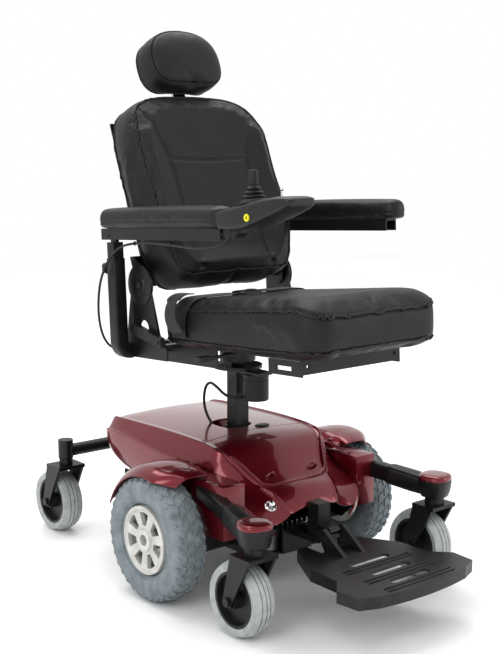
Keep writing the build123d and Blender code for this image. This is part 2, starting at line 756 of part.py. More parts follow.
# ---- seat frame: swivel ring, pan, channels, front angle, rear cross tube and recline plates ----
pan_z = 42.0
plate_x = cushion_w / 2 + 7.5  # recline plates' middle
plate_t = 5.0
plate_out = plate_x + plate_t / 2
pan_pad_in = front_rail_w / 2 - 3
recline_pin_r = 6.0
cross_tube_z = 31.0
with BuildPart(SEAT) as seat_frame:
    with Locations((0, (front_rail_y + 60) / 2, pan_z + 4)):
        Box(front_rail_w, 60 - front_rail_y, 8)
    for side in SIDES.values():
        # channels, open inwards
        with Locations((side * rail_x, 24, 20)):
            Box(24, 186, 44)
        with Locations((side * (rail_x - 4), 24, 20)):
            Box(24, 188, 36, mode=Mode.SUBTRACT)
        # front side plates with an adjusting slot
        with Locations((side * (front_rail_w / 2 - 2), front_rail_y + 49, 26)):
            Box(4, 98, 30)
        with Locations((side * (front_rail_w / 2 - 2), front_rail_y + 52, 25)):
            Box(12, 44, 9, mode=Mode.SUBTRACT)
    # front angle rail
    with Locations((0, front_rail_y + 2, 29)):
        Box(front_rail_w, 4, 28)
    with Locations((0, front_rail_y + 15, 17)):
        Box(front_rail_w, 30, 4)
    with BuildSketch(seat_plane(Plane.XZ.offset(-(front_rail_y - 2)))):
        with Locations((-accessory_pitch / 2, 31), (accessory_pitch / 2, 31)):
            Circle(accessory_hole_r)
    extrude(amount=-8, mode=Mode.SUBTRACT)
    # rear cross tube, joined to the channels
    with Locations((0, arm_post_y, cross_tube_z)):
        Box(2 * plate_out, 26, 26)
    # recline plates
    for side in SIDES.values():
        with BuildSketch(seat_plane(Plane.YZ.offset(side * plate_x))):
            with BuildLine():
                Polyline(
                    (-8, 44),
                    (18, 72),
                    (recline_y - 36, recline_z - 10),
                    (recline_y + 36, recline_z - 10),
                    (arm_post_y + 13, 44),
                    (arm_post_y + 13, 18),
                    (-8, 18),
                    close=True,
                )
            make_face()
            with Locations((recline_y, recline_z)):
                Circle(42)
            with Locations((72, 84)):
                Circle(18, mode=Mode.SUBTRACT)
        extrude(amount=plate_t / 2, both=True)
        with Locations((side * (plate_x - 8), recline_y, recline_z)):
            Cylinder(recline_pin_r, 22, rotation=(0, 90, 0))
        # lever pin
        with Locations((side * (plate_x + 9), 4, 58)):
            Cylinder(4, 18, rotation=(0, 90, 0))
    # pads that tie the recline plates to the pan
    for side in SIDES.values():
        with Locations((side * (pan_pad_in + plate_x) / 2, 20, pan_z + 4)):
            Box(plate_x - pan_pad_in, 24, 8)
    # swivel hub reaches down to the ring on the post
    with Locations((0, 0, 20)):
        Cylinder(40, 44)
    # the hub ends level on the post's flange
    with BuildSketch(Plane.XY.offset(post_top + swivel_t - 1 + soft_gap)):
        with Locations((0, post_y)):
            Rectangle(400, 600)
    extrude(amount=-60, mode=Mode.SUBTRACT)
    with BuildSketch(Plane.XY.offset(post_top)):
        with Locations((0, post_y)):
            Circle(14 + running_gap)
    extrude(amount=30, mode=Mode.SUBTRACT)
seat_frame.part.label = "seat_frame"
export_step(seat_frame.part, "parts/seat_frame.step")
print("seat frame solids", len(seat_frame.part.solids()))

# ---- swivel lock lever, under the right front of the pan ----
swivel_lever_y = -120.0
with BuildPart(SEAT) as swivel_lever:
    with Locations((-100, swivel_lever_y, pan_z - 8)):
        Cylinder(9, 12)
    with Locations((-136, swivel_lever_y, pan_z - 10)):
        Box(72, 14, 5)
    with Locations((-186, swivel_lever_y, pan_z - 10)):
        Box(34, 22, 10)
    fillet(swivel_lever.edges().filter_by(SEAT_UP).group_by(Axis.X)[0], 6)
swivel_lever.part.label = "swivel_lever"
export_step(swivel_lever.part, "parts/swivel_lever.step")

# ---- seat cushion: plain crowned block over the pan ----
with BuildPart() as seat_cushion:
    with BuildSketch(seat_plane(Plane.YZ.offset(-cushion_w / 2))):
        with BuildLine():
            Polyline(
                (cushion_front + 14, cushion_bottom),
                (cushion_rear, cushion_bottom),
                (cushion_rear, cushion_top_rear - 8),
                (cushion_rear - 60, cushion_top_rear),
                (cushion_front + 70, cushion_top_front),
                (cushion_front + 10, cushion_top_front - 6),
                (cushion_front, cushion_top_front - 30),
                close=True,
            )
        make_face()
    extrude(amount=cushion_w)
    upright = seat_cushion.edges().filter_by(lambda e: abs(e.tangent_at(0.5).Z) > 0.9)
    fillet(upright.group_by(Axis.Y)[0], 40)
seat_cushion.part.label = "seat_cushion"
export_step(seat_cushion.part, "parts/seat_cushion.step")

# ---- back frame: steel shell behind the cushion with two hinge plates ----
hinge_plate_x = plate_x - 7
hinge_plate_t = 4.0
stay_w = 34.0
stay_t = 8.0
stay_d = -32.0  # stay's depth in the back's frame
back_plate_d = back_rear + soft_gap
with BuildPart(BACK) as back_frame:
    with Locations((0, back_plate_d + 2, 190)):
        Box(2 * (hinge_plate_x - 24.5), 4, 380)
    for side in SIDES.values():
        with Locations((side * (hinge_plate_x - 13), back_plate_d + 2, 40)):
            Box(30, 4, 60)
        with BuildSketch(back_plane(Plane.YZ.offset(side * hinge_plate_x))):
            with BuildLine():
                Polyline(
                    (back_plate_d + 4, 70),
                    (back_plate_d + 4, 0),
                    (0, -24),
                    (-24, 0),
                    (-8, 40),
                    (back_plate_d, 70),
                    close=True,
                )
            make_face()
            Circle(26)
        extrude(amount=hinge_plate_t / 2, both=True)
        with Locations((side * hinge_plate_x, 0, 0)):
            Cylinder(recline_pin_r + running_gap, 20, rotation=(0, 90, 0), mode=Mode.SUBTRACT)
back_frame.part.label = "back_frame"
export_step(back_frame.part, "parts/back_frame.step")

# ---- back cushion: contoured outline, side bolsters standing proud, slot for the headrest stay ----
half_back = back_w / 2
back_outline = [
    (150, -22),
    (178, 40),
    (half_back - 3, 90),
    (half_back, 150),
    (half_back, 300),
    (half_back - 14, 345),
    (165, 386),
    (128, 412),
    (80, back_top - 3),
    (0, back_top),
]
with BuildPart() as back_cushion:
    outline_plane = back_plane(Plane.XZ.offset(-back_rear))
    with BuildSketch(outline_plane):
        with BuildLine():
            left = [(-x, z) for x, z in reversed(back_outline[:-1])]
            Polyline(*back_outline, *left, close=True)
        make_face()
    extrude(amount=back_rear - back_front)
    # bolsters
    for side in SIDES.values():
        with BuildSketch(back_plane(Plane.XY.offset(60))):
            Polygon(
                (side * (half_back - 4), back_front + 1),
                (side * 120, back_front + 1),
                (side * (half_back - 24), back_front - 20),
                (side * (half_back - 8), back_front - 20),
                align=None,
            )
        extrude(amount=270)
    # narrowed round the hinge plates
    for side in SIDES.values():
        with BuildSketch(back_plane(Plane.XZ.offset(-back_rear - 1))):
            with Locations((side * 202, 10)):
                Rectangle(34, 100)
        extrude(amount=back_rear - back_front + 30, mode=Mode.SUBTRACT)
    with BuildSketch(back_plane(Plane.XY.offset(back_top + 1))):
        with Locations((0, stay_d)):
            Rectangle(stay_w + 0.8, stay_t + 0.8)
    extrude(amount=-170, mode=Mode.SUBTRACT)
back_cushion.part.label = "back_cushion"
export_step(back_cushion.part, "parts/back_cushion.step")

# ---- headrest: pad with its flat steel stay ----
head_bottom = back_top + 2
head_top = 567.0
with BuildPart() as head_pad:
    with BuildSketch(back_plane(Plane.XZ.offset(18))):
        with BuildLine():
            head_curve = [(74, head_bottom), (101, head_bottom + 18), (105, head_bottom + 58), (86, head_bottom + 108)]
            left = [(-x, z) for x, z in reversed(head_curve)]
            Polyline(*head_curve)
            ThreePointArc(head_curve[-1], (0, head_top), left[0])
            Polyline(*left)
            Line(left[-1], head_curve[0])
        make_face()
    extrude(amount=86)
    with BuildSketch(back_plane(Plane.XY.offset(head_bottom - 1))):
        with Locations((0, stay_d)):
            Rectangle(stay_w, stay_t)
    extrude(amount=61, mode=Mode.SUBTRACT)
with BuildPart() as head_stay:
    with BuildSketch(back_plane(Plane.XY.offset(back_top - 150))):
        with Locations((0, stay_d)):
            Rectangle(stay_w, stay_t)
    extrude(amount=150 + head_bottom + 60 - back_top)
headrest = Compound(children=[head_pad.part.solids()[0], head_stay.part.solids()[0]])
headrest.label = "headrest"
export_step(headrest, "parts/headrest.step")

# ---- recline lever: grip on the right side with its wire up to the hinge disc ----
grip_x = -(plate_x + plate_t / 2 + 8)
with BuildPart(SEAT) as recline_lever:
    with BuildSketch(seat_plane(Plane.YZ.offset(grip_x - 6))):
        with BuildLine():
            Polyline((-8, 48), (-6, 68), (86, 92), (104, 90), (106, 76), (90, 68), close=True)
        make_face()
    extrude(amount=12)
    with Locations((grip_x, 100, 112)):
        Cylinder(2.5, 66)
    with Locations((grip_x, 4, 58)):
        Cylinder(4 + running_gap, 40, rotation=(0, 90, 0), mode=Mode.SUBTRACT)
recline_lever.part.label = "recline_lever"
export_step(recline_lever.part, "parts/recline_lever.step")

# ---- armrest receivers: L-shaped tubes from the cross tube, with clamp knobs ----
tube_top = 236.0
with BuildPart(SEAT) as arm_receivers:
    for side in SIDES.values():
        with Locations((side * arm_x, arm_post_y, (cross_tube_z - 15 + tube_top) / 2)):
            Box(tube_w, tube_w, tube_top - cross_tube_z + 15)
        with Locations((side * (plate_out + arm_x - tube_w / 2) / 2, arm_post_y, cross_tube_z)):
            Box(arm_x - tube_w / 2 - plate_out, 26, 26)
        with Locations((side * arm_x, arm_post_y, (60 + tube_top + 1) / 2)):
            Box(arm_post_w + 0.8, arm_post_w + 0.8, tube_top + 1 - 60, mode=Mode.SUBTRACT)
with BuildPart(SEAT) as arm_knobs:
    for side in SIDES.values():
        with Locations((side * arm_x, arm_post_y + tube_w / 2 + 4, tube_top - 22)):
            Cylinder(5, 8, rotation=(90, 0, 0))
        with Locations((side * arm_x, arm_post_y + tube_w / 2 + 16, tube_top - 22)):
            Cylinder(15, 16, rotation=(90, 0, 0))
receivers = Compound(children=[*arm_receivers.part.solids(), *arm_knobs.part.solids()])
receivers.label = "arm_receivers"
export_step(receivers, "parts/arm_receivers.step")

# ---- armrests: height post, flip-up rail and pad ----
hinge_r = 4.0
rail_front = -262.0
rail_rear = pad_rear - 5
rail_bottom = arm_hinge_z - 8
rail_top = pad_bottom - 1
rail_z = (rail_bottom + rail_top) / 2
rail_w = 32.0
rail_t = 3.0
post_shoulder = arm_hinge_z - 14
head_r = 10.0
post_bottom = 70.0
for name, side in SIDES.items():
    with BuildPart(SEAT) as arm_post:
        with Locations((side * arm_x, arm_post_y, (post_bottom + post_shoulder) / 2)):
            Box(arm_post_w, arm_post_w, post_shoulder - post_bottom)
        with Locations((side * arm_x, arm_post_y, (post_shoulder + arm_hinge_z) / 2)):
            Box(8, 2 * head_r, arm_hinge_z - post_shoulder)
        with Locations((side * arm_x, arm_post_y, arm_hinge_z)):
            Cylinder(head_r, 8, rotation=(0, 90, 0))
            Cylinder(hinge_r, rail_w + 2, rotation=(0, 90, 0))
    arm_post.part.label = f"arm_post_{name}"
    export_step(arm_post.part, f"parts/arm_post_{name}.step")

    with BuildPart(SEAT) as arm_rail:
        with Locations((side * arm_x, (rail_front + rail_rear) / 2, rail_z)):
            Box(rail_w, rail_rear - rail_front, rail_top - rail_bottom)
        # channel is open underneath
        with Locations((side * arm_x, (rail_front + rail_rear) / 2 - rail_t, rail_z - rail_t)):
            Box(rail_w - 2 * rail_t, rail_rear - rail_front, rail_top - rail_bottom, mode=Mode.SUBTRACT)
        # room for the post's head as the rail turns up
        with Locations((side * arm_x, arm_post_y + 22, rail_z - rail_t)):
            Box(rail_w - 2 * rail_t, 60, rail_top - rail_bottom, mode=Mode.SUBTRACT)
        with Locations((side * arm_x, arm_post_y, arm_hinge_z)):
            Cylinder(hinge_r + running_gap, 60, rotation=(0, 90, 0), mode=Mode.SUBTRACT)
    arm_rail.part.label = f"arm_rail_{name}"
    export_step(arm_rail.part, f"parts/arm_rail_{name}.step")

    pad_end = pad_front if side > 0 else pad_front + 22
    with BuildPart() as arm_pad:
        with BuildSketch(seat_plane(Plane.XY.offset(pad_bottom))):
            with Locations((side * arm_x, (pad_rear + pad_end) / 2)):
                RectangleRounded(pad_w, pad_rear - pad_end, 22)
        extrude(amount=pad_top - pad_bottom)
        fillet(arm_pad.faces().sort_by(SEAT_UP)[-1].edges(), 12)
    arm_pad.part.label = f"arm_pad_{name}"
    export_step(arm_pad.part, f"parts/arm_pad_{name}.step")

# ======== joystick, on the right armrest ========
box_x = -arm_x
box_w = 78.0
box_rear = -276.0
box_front = -482.0
cavity_r = 19.0
tongue_w = 24.0
rail_bore_top = rail_top - rail_t
with BuildPart() as joystick_housing:
    with BuildSketch(seat_plane(Plane.YZ.offset(box_x - box_w / 2))):
        with BuildLine():
            Polyline(
                (box_rear, 300),
                (box_rear, 334),
                (-330, 345),
                (-400, 356),
                (-455, 359),
                (box_front + 6, 356),
                (box_front, 346),
                (-456, 330),
                (-400, 314),
                (-350, 298),
                (-330, 296),
                close=True,
            )
        make_face()
    extrude(amount=box_w)
    # tongue into the armrest's rail
    with BuildSketch(seat_plane(Plane.YZ.offset(box_x - tongue_w / 2))):
        with BuildLine():
            Polyline(
                (rail_front + 10, 282),
                (rail_front + 10, rail_bore_top),
                (box_rear, rail_bore_top),
                (box_rear - 1, 304),
                (box_rear - 36, 304),
                (box_rear - 36, 290),
                (box_rear - 24, 282),
                close=True,
            )
        make_face()
    extrude(amount=tongue_w)
    with BuildSketch(seat_plane(Plane.XY.offset(stick_z - 16))):
        with Locations((box_x, stick_y)):
            Circle(cavity_r)
    extrude(amount=60, mode=Mode.SUBTRACT)
    with BuildSketch(seat_plane(Plane.YZ.offset(box_x))):
        with Locations((stick_y, stick_z - 9)):
            Circle(2)
    extrude(amount=cavity_r + 8, both=True, mode=Mode.SUBTRACT)
    # toggle's slot and the charging socket's seat
    with BuildSketch(seat_plane(Plane.XY.offset(340))):
        with Locations((box_x, -426)):
            Rectangle(12, 16)
    extrude(amount=40, mode=Mode.SUBTRACT)
    with BuildSketch(seat_plane(Plane.YZ.offset(box_x - box_w / 2))):
        with Locations((-372, 322)):
            Circle(7)
    extrude(amount=12, mode=Mode.SUBTRACT)
joystick_housing.part.label = "joystick_housing"
export_step(joystick_housing.part, "parts/joystick_housing.step")

gimbal_z = stick_z - 9
with BuildPart(SEAT) as joystick_gimbal:
    with Locations((box_x, stick_y, gimbal_z)):
        Cylinder(12, 6)
        Cylinder(1.95, 2 * (cavity_r + 6), rotation=(0, 90, 0))
        Cylinder(8, 10, mode=Mode.SUBTRACT)
        Cylinder(1.5, 40, rotation=(90, 0, 0), mode=Mode.SUBTRACT)
joystick_gimbal.part.label = "joystick_gimbal"
export_step(joystick_gimbal.part, "parts/joystick_gimbal.step")

with BuildPart(SEAT) as joystick_stick:
    with Locations((box_x, stick_y, gimbal_z)):
        Sphere(6)
        Cylinder(1.45, 23, rotation=(90, 0, 0))
    with Locations((box_x, stick_y, gimbal_z + 21)):
        Cylinder(4, 42)
    with Locations((box_x, stick_y, gimbal_z + 55)):
        Cylinder(9, 26)
    fillet(joystick_stick.edges().group_by(SEAT_UP)[-1], 3)
joystick_stick.part.label = "joystick_stick"
export_step(joystick_stick.part, "parts/joystick_stick.step")

# ---- boot: bellows from the housing up to the stick ----
with BuildPart() as joystick_boot:
    boot_plane = seat_plane(Plane(origin=(box_x, stick_y, 0), x_dir=(1, 0, 0), z_dir=(0, -1, 0)))
    with BuildSketch(boot_plane):
        with BuildLine():
            Polyline(
                (28, 352),
                (29, 355),
                (20, 359),
                (23, 363),
                (16, 367),
                (19, 371),
                (13, 374),
                (18, 378),
                (9, 381.5),
                (4.6, 381.5),
                (4.6, 379.5),
                (8, 379.5),
                (14, 377),
                (11, 374),
                (16, 371),
                (14, 367),
                (20, 363),
                (18, 359),
                (26, 354),
                (26, 352),
                close=True,
            )
        make_face()
    revolve(axis=Axis(SEAT.from_local_coords((box_x, stick_y, 0)), SEAT.z_dir))
    # seated on the housing's sloping top
    with BuildSketch(seat_plane(Plane.YZ.offset(box_x - 40))):
        with BuildLine():
            Polyline((-400, 357), (-330, 346), (-280, 338), (-280, 300), (-400, 300), close=True)
        make_face()
    extrude(amount=80, mode=Mode.SUBTRACT)
joystick_boot.part.label = "joystick_boot"
export_step(joystick_boot.part, "parts/joystick_boot.step")

with BuildPart(SEAT) as toggle_switch:
    with Locations((box_x, -426, 350)):
        Cylinder(3.5, 10, rotation=(0, 90, 0))
    with Locations((box_x, -426, 361)):
        Cylinder(2.5, 18)
    with Locations((box_x, -426, 371)):
        Sphere(3.6)
toggle_switch.part.label = "toggle_switch"
export_step(toggle_switch.part, "parts/toggle_switch.step")

with BuildPart() as charger_socket:
    with BuildSketch(seat_plane(Plane.YZ.offset(box_x - box_w / 2 - 2))):
        with Locations((-372, 322)):
            Circle(7)
            Circle(3, mode=Mode.SUBTRACT)
    extrude(amount=14)
charger_socket.part.label = "charger_socket"
export_step(charger_socket.part, "parts/charger_socket.step")

# ---- joystick lead: sags under the rail, is tied at the armrest's rear, loops down to the frame ----
joystick_lead_d = 5.0
joystick_route = [  # chosen by hand for this seat width
    (-248, -302, 298.5),
    (-248, -300, 287),
    (-249, -286, 275),
    (-250, -256, 267),
    (-250, -216, 263),
    (-250, -166, 264),
    (-249, -116, 268),
    (-248, -66, 271),
    (-248, -16, 271.5),
    (-248, 34, 270),
    (-249, 74, 263),
    (-250, 104, 247),
    (-252, 130, 223),
    (-254, 150, 192),
    (-255, 160, 158),
    (-254, 166, 124),
    (-251, 168, 94),
    (-244, 169, 66),
    (-231, 169, 44),
    (-212, 168, 32),
    (-191, 163, 29),
    (-178, 153, 30),
    (-173, 145, 31),
]
joystick_cable = cord([SEAT.from_local_coords(point) for point in joystick_route], joystick_lead_d, 1)
joystick_cable.label = "joystick_cable"
export_step(joystick_cable, "parts/joystick_cable.step")

# ---- lap belt: two straps up the cushion's sides and across it, with the buckle between ----
belt_w = 48.0
belt_t = 2.0
belt_z = 138.5
belt_y = -34.0
buckle_half = 32.0
straps = []
for side in SIDES.values():
    with BuildPart() as strap:
        with BuildSketch(seat_plane(Plane.XZ.offset(-(belt_y - belt_w / 2)))):
            with BuildLine():
                Polyline(
                    (side * (cushion_w / 2 + 1), pan_z + 24),
                    (side * (cushion_w / 2 + 1), belt_z),
                    (side * (buckle_half + 0.5), belt_z),
                    (side * (buckle_half + 0.5), belt_z + belt_t),
                    (side * (cushion_w / 2 + 1 + belt_t), belt_z + belt_t),
                    (side * (cushion_w / 2 + 1 + belt_t), pan_z + 24),
                    close=True,
                )
            make_face()
        extrude(amount=-belt_w)
    straps.append(strap.part.solids()[0])
with BuildPart(SEAT) as buckle:
    with Locations((0, belt_y, belt_z + 8)):
        Box(2 * buckle_half, 44, 16)
    fillet(buckle.edges().filter_by(SEAT_UP), 8)
    with Locations((buckle_half - 12, belt_y, belt_z + 16)):
        Box(16, 26, 3)
lap_belt = Compound(children=[*straps, buckle.part.solids()[0]])
lap_belt.label = "lap_belt"
export_step(lap_belt, "parts/lap_belt.step")
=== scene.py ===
# %% [markdown]
# # A six-wheeled power wheelchair, finished in Blender
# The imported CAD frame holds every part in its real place. This lesson dresses it: candy-red lacquered
# covers, stitched vinyl on foam, grey rubber, powder-coated steel and moulded plastic.

# %% Load the frame
from math import cos, exp, pi, radians, sin

import bmesh
import bpy
from mathutils import Euler, Matrix, Vector
from mathutils.bvhtree import BVHTree
from mathutils.kdtree import KDTree


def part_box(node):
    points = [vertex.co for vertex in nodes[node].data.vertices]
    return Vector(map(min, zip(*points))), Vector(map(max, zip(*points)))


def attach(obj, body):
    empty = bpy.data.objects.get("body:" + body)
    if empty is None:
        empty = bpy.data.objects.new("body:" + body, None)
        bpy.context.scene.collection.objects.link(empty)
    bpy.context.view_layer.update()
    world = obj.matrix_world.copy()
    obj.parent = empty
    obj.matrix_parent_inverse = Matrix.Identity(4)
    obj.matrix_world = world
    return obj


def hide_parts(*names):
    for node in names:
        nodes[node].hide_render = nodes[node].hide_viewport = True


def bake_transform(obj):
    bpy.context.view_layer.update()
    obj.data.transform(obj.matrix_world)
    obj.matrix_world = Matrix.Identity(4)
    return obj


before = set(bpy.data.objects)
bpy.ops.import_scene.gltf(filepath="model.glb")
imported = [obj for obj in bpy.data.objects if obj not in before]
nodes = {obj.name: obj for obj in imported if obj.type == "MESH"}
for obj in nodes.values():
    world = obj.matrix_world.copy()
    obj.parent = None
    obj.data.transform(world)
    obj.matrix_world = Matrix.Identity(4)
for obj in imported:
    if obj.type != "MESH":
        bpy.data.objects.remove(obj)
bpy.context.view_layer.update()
MM = 0.001
SIDES = {"left": 1, "right": -1}

# %% [markdown]
# The seat is tilted back three degrees, and the backrest leans a further eighteen and a half. Working in
# each one's own frame keeps its numbers as plain as on a workshop drawing. Both frames are matrices that
# turn a local point in millimetres into a world point in metres.

# %% Frames of the seat and the back
SEAT_TILT = 3.0
BACK_LEAN = 18.5
AXLE_Y = -45.0
POST_Y = AXLE_Y + 66.0
SEAT = Matrix.Translation((0, POST_Y * MM, 0.470)) @ Matrix.Rotation(-radians(SEAT_TILT), 4, "X")
RECLINE = Vector((0, 80, 178))
BACK = SEAT @ Matrix.Translation(RECLINE * MM) @ Matrix.Rotation(-radians(BACK_LEAN), 4, "X")
BASE = Matrix.Translation((0, AXLE_Y * MM, 0))


def at(frame_matrix, x, y, z):
    """World point of a local point in millimetres."""
    return frame_matrix @ Vector((x * MM, y * MM, z * MM))


# %% [markdown]
# A long lens from a few metres away keeps the proportions true. The camera stands 1.6 m to the right and
# 2 m ahead of the chair at chest height, and looks slightly down on it.

# %% Camera
CAMERA_TURN = 39.6
CAMERA_PITCH = 8.79
camera_data = bpy.data.cameras.new("camera")
camera_data.sensor_fit = "VERTICAL"
camera_data.sensor_height = 36.0
camera_data.lens = 63.75
camera = bpy.data.objects.new("camera", camera_data)
camera.location = (-1.6025, -1.9591, 0.9361)
camera.rotation_euler = Euler((radians(90 - CAMERA_PITCH), 0, -radians(CAMERA_TURN)))
bpy.context.scene.collection.objects.link(camera)
bpy.context.scene.camera = camera
print("camera is", round(camera.location.length, 2), "m from the origin")

# %% [markdown]
# Colours are chosen as sRGB hex values, as on a paint chart. Blender's shaders work in linear light, so one
# function converts them. A second small function adds a shader node with its settings and its links, and
# every material below is built from those two.


# %% Colour and node helpers
def srgb(code, alpha=1.0):
    """Linear RGBA of an sRGB hex colour."""
    channels = [int(code[i : i + 2], 16) / 255 for i in (1, 3, 5)]
    return (*[c / 12.92 if c <= 0.04045 else ((c + 0.055) / 1.055) ** 2.4 for c in channels], alpha)


def add(tree, kind, settings=None, **links):
    """Adds a node, sets its properties and sockets, and links named inputs to other nodes' sockets."""
    node = tree.nodes.new(kind)
    for key, value in (settings or {}).items():
        if isinstance(key, int) or key in node.inputs:
            node.inputs[key].default_value = value
        else:
            setattr(node, key, value)
    for key, source in links.items():
        if key[0] == "i" and key[1:].isdigit():
            socket = node.inputs[int(key[1:])]
        else:
            socket = node.inputs[key.replace("_", " ")]
        tree.links.new(source, socket)
    return node


def finish(name, roughness, ior=1.5, metallic=0.0, **sockets):
    """A new material with its principled shader's plain numbers set. Returns material, tree and shader."""
    material = bpy.data.materials.new(name)
    material.use_nodes = True
    tree = material.node_tree
    shader = tree.nodes["Principled BSDF"]
    shader.inputs["Roughness"].default_value = roughness
    shader.inputs["Metallic"].default_value = metallic
    if not metallic:
        shader.inputs["IOR"].default_value = ior
    for key, value in sockets.items():
        shader.inputs[key.replace("_", " ")].default_value = value
    return material, tree, shader


def per_metre(size_mm):
    """Texture scale that makes one feature of a noise or cell pattern this many millimetres across."""
    return 1000.0 / size_mm


def two_tone(tree, shader, dark, light, size_mm, low=0.35, high=0.65, detail=4.0):
    """Colour drifts between two hex tones over patches of a given size, and returns the noise."""
    place = add(tree, "ShaderNodeTexCoord")
    noise = add(
        tree,
        "ShaderNodeTexNoise",
        {"Scale": per_metre(size_mm), "Detail": detail},
        Vector=place.outputs["Object"],
    )
    ramp = add(tree, "ShaderNodeValToRGB", Fac=noise.outputs["Fac"])
    ramp.color_ramp.elements[0].position = low
    ramp.color_ramp.elements[0].color = srgb(dark)
    ramp.color_ramp.elements[1].position = high
    ramp.color_ramp.elements[1].color = srgb(light)
    tree.links.new(ramp.outputs["Color"], shader.inputs["Base Color"])
    return noise


def rough_range(tree, shader, noise, low, high):
    """Roughness follows a noise between two values, as handling and dust leave it."""
    spread = add(tree, "ShaderNodeMapRange", {"To Min": low, "To Max": high}, Value=noise.outputs["Fac"])
    tree.links.new(spread.outputs["Result"], shader.inputs["Roughness"])


def bump(tree, shader, height, depth_mm, strength=0.5, under=None):
    """Bump of a height output, with its depth in millimetres; a second one can lie under it."""
    node = add(tree, "ShaderNodeBump", {"Strength": strength, "Distance": depth_mm * MM}, Height=height)
    if under:
        tree.links.new(under.outputs["Normal"], node.inputs["Normal"])
    tree.links.new(node.outputs["Normal"], shader.inputs["Normal"])
    return node


# %% [markdown]
# ## Lacquer
# The covers are moulded plastic sprayed with a candy lacquer: a silver base, a clear red over it and a
# polished clear coat. It looks almost black where it mirrors something dark and glows crimson where it faces
# the light. A partly metallic red base under a smooth coat gives that, with flakes too small to see one by
# one drawn as a very faint speckle.


# %% Candy red lacquer
def candy_lacquer():
    material, tree, shader = finish(
        "candy red lacquer on moulded plastic", 0.30, metallic=0.55, Coat_Weight=1.0, Coat_Roughness=0.035
    )
    place = add(tree, "ShaderNodeTexCoord")
    flakes = add(tree, "ShaderNodeTexVoronoi", {"Scale": per_metre(1.2)}, Vector=place.outputs["Object"])
    ramp = add(tree, "ShaderNodeValToRGB", Fac=flakes.outputs["Distance"])
    ramp.color_ramp.elements[0].color = srgb("#800c21")
    ramp.color_ramp.elements[1].color = srgb("#660718")
    tree.links.new(ramp.outputs["Color"], shader.inputs["Base Color"])
    where = place.outputs["Object"]
    waves = add(tree, "ShaderNodeTexNoise", {"Scale": per_metre(9), "Detail": 1.0}, Vector=where)
    bump(tree, shader, waves.outputs["Fac"], 0.05, 0.12)
    return material


# %% [markdown]
# ## Vinyl
# Upholstery vinyl is a soft PVC film embossed with a leather grain, on a knitted backing. It is a warm black
# with a broad satin sheen. The real grain is about 1 mm, too fine for the picture, so it is drawn at 2 mm,
# with long soft wrinkles of a few centimetres under it.


# %% Stitched black vinyl
def vinyl(name, dark, light, roughness):
    material, tree, shader = finish(name, roughness, ior=1.48, Sheen_Weight=0.04, Sheen_Roughness=0.4)
    noise = two_tone(tree, shader, dark, light, 45)
    rough_range(tree, shader, noise, roughness - 0.05, roughness + 0.08)
    place = add(tree, "ShaderNodeTexCoord")
    where = place.outputs["Object"]
    folds = add(tree, "ShaderNodeTexNoise", {"Scale": per_metre(38), "Detail": 2.0}, Vector=where)
    grain = add(tree, "ShaderNodeTexVoronoi", {"Scale": per_metre(2.0)}, Vector=place.outputs["Object"])
    soft = bump(tree, shader, folds.outputs["Fac"], 2.2, 0.35)
    bump(tree, shader, grain.outputs["Distance"], 0.28, 0.45, under=soft)
    return material


# %% [markdown]
# ## Powder coat, plastics and rubber
# Powder coat is baked epoxy with an orange-peel surface about 1.5 mm across. Moulded plastic has a spark
# eroded texture and is duller. Both are the same kind of recipe with other numbers, so one function makes
# them all: two close tones, a roughness that drifts, and a fine bump.


# %% Coated, moulded and rubber finishes
def textured(name, dark, light, roughness, grain_mm, depth_mm, patch_mm=30, ior=1.5, **sockets):
    material, tree, shader = finish(name, roughness, ior=ior, **sockets)
    noise = two_tone(tree, shader, dark, light, patch_mm)
    rough_range(tree, shader, noise, roughness - 0.06, roughness + 0.06)
    place = add(tree, "ShaderNodeTexCoord")
    grain = add(
        tree,
        "ShaderNodeTexNoise",
        {"Scale": per_metre(grain_mm), "Detail": 3.0},
        Vector=place.outputs["Object"],
    )
    bump(tree, shader, grain.outputs["Fac"], depth_mm, 0.4)
    return material


# %% [markdown]
# ## Metals
# Chrome, zinc and cast alloy differ in colour and in how they were finished: polished, dipped or tumbled.
# A metal keeps the default index of refraction; its colour and roughness say the rest.


# %% Metal finishes
def metal(name, dark, light, roughness, grain_mm, depth_mm):
    material, tree, shader = finish(name, roughness, metallic=1.0)
    noise = two_tone(tree, shader, dark, light, grain_mm * 6)
    rough_range(tree, shader, noise, max(0.02, roughness - 0.05), roughness + 0.06)
    bump(tree, shader, noise.outputs["Fac"], depth_mm, 0.2)
    return material


# %% [markdown]
# ## Webbing
# A lap belt is woven polyester: warp threads about 1 mm wide run along it with a herringbone rib. Waves at a
# slant, drawn at 3 mm so that they show, stand for the ribs.


# %% Woven belt webbing
def webbing():
    material, tree, shader = finish("black woven polyester webbing", 0.7, ior=1.56, Sheen_Weight=0.2)
    two_tone(tree, shader, "#141312", "#232120", 12)
    place = add(tree, "ShaderNodeTexCoord")
    ribs = add(
        tree,
        "ShaderNodeTexWave",
        {"Scale": per_metre(3.0) / 6.3, "Distortion": 0.6, "wave_type": "BANDS", "bands_direction": "DIAGONAL"},
        Vector=place.outputs["Object"],
    )
    bump(tree, shader, ribs.outputs["Fac"], 0.5, 0.6)
    return material


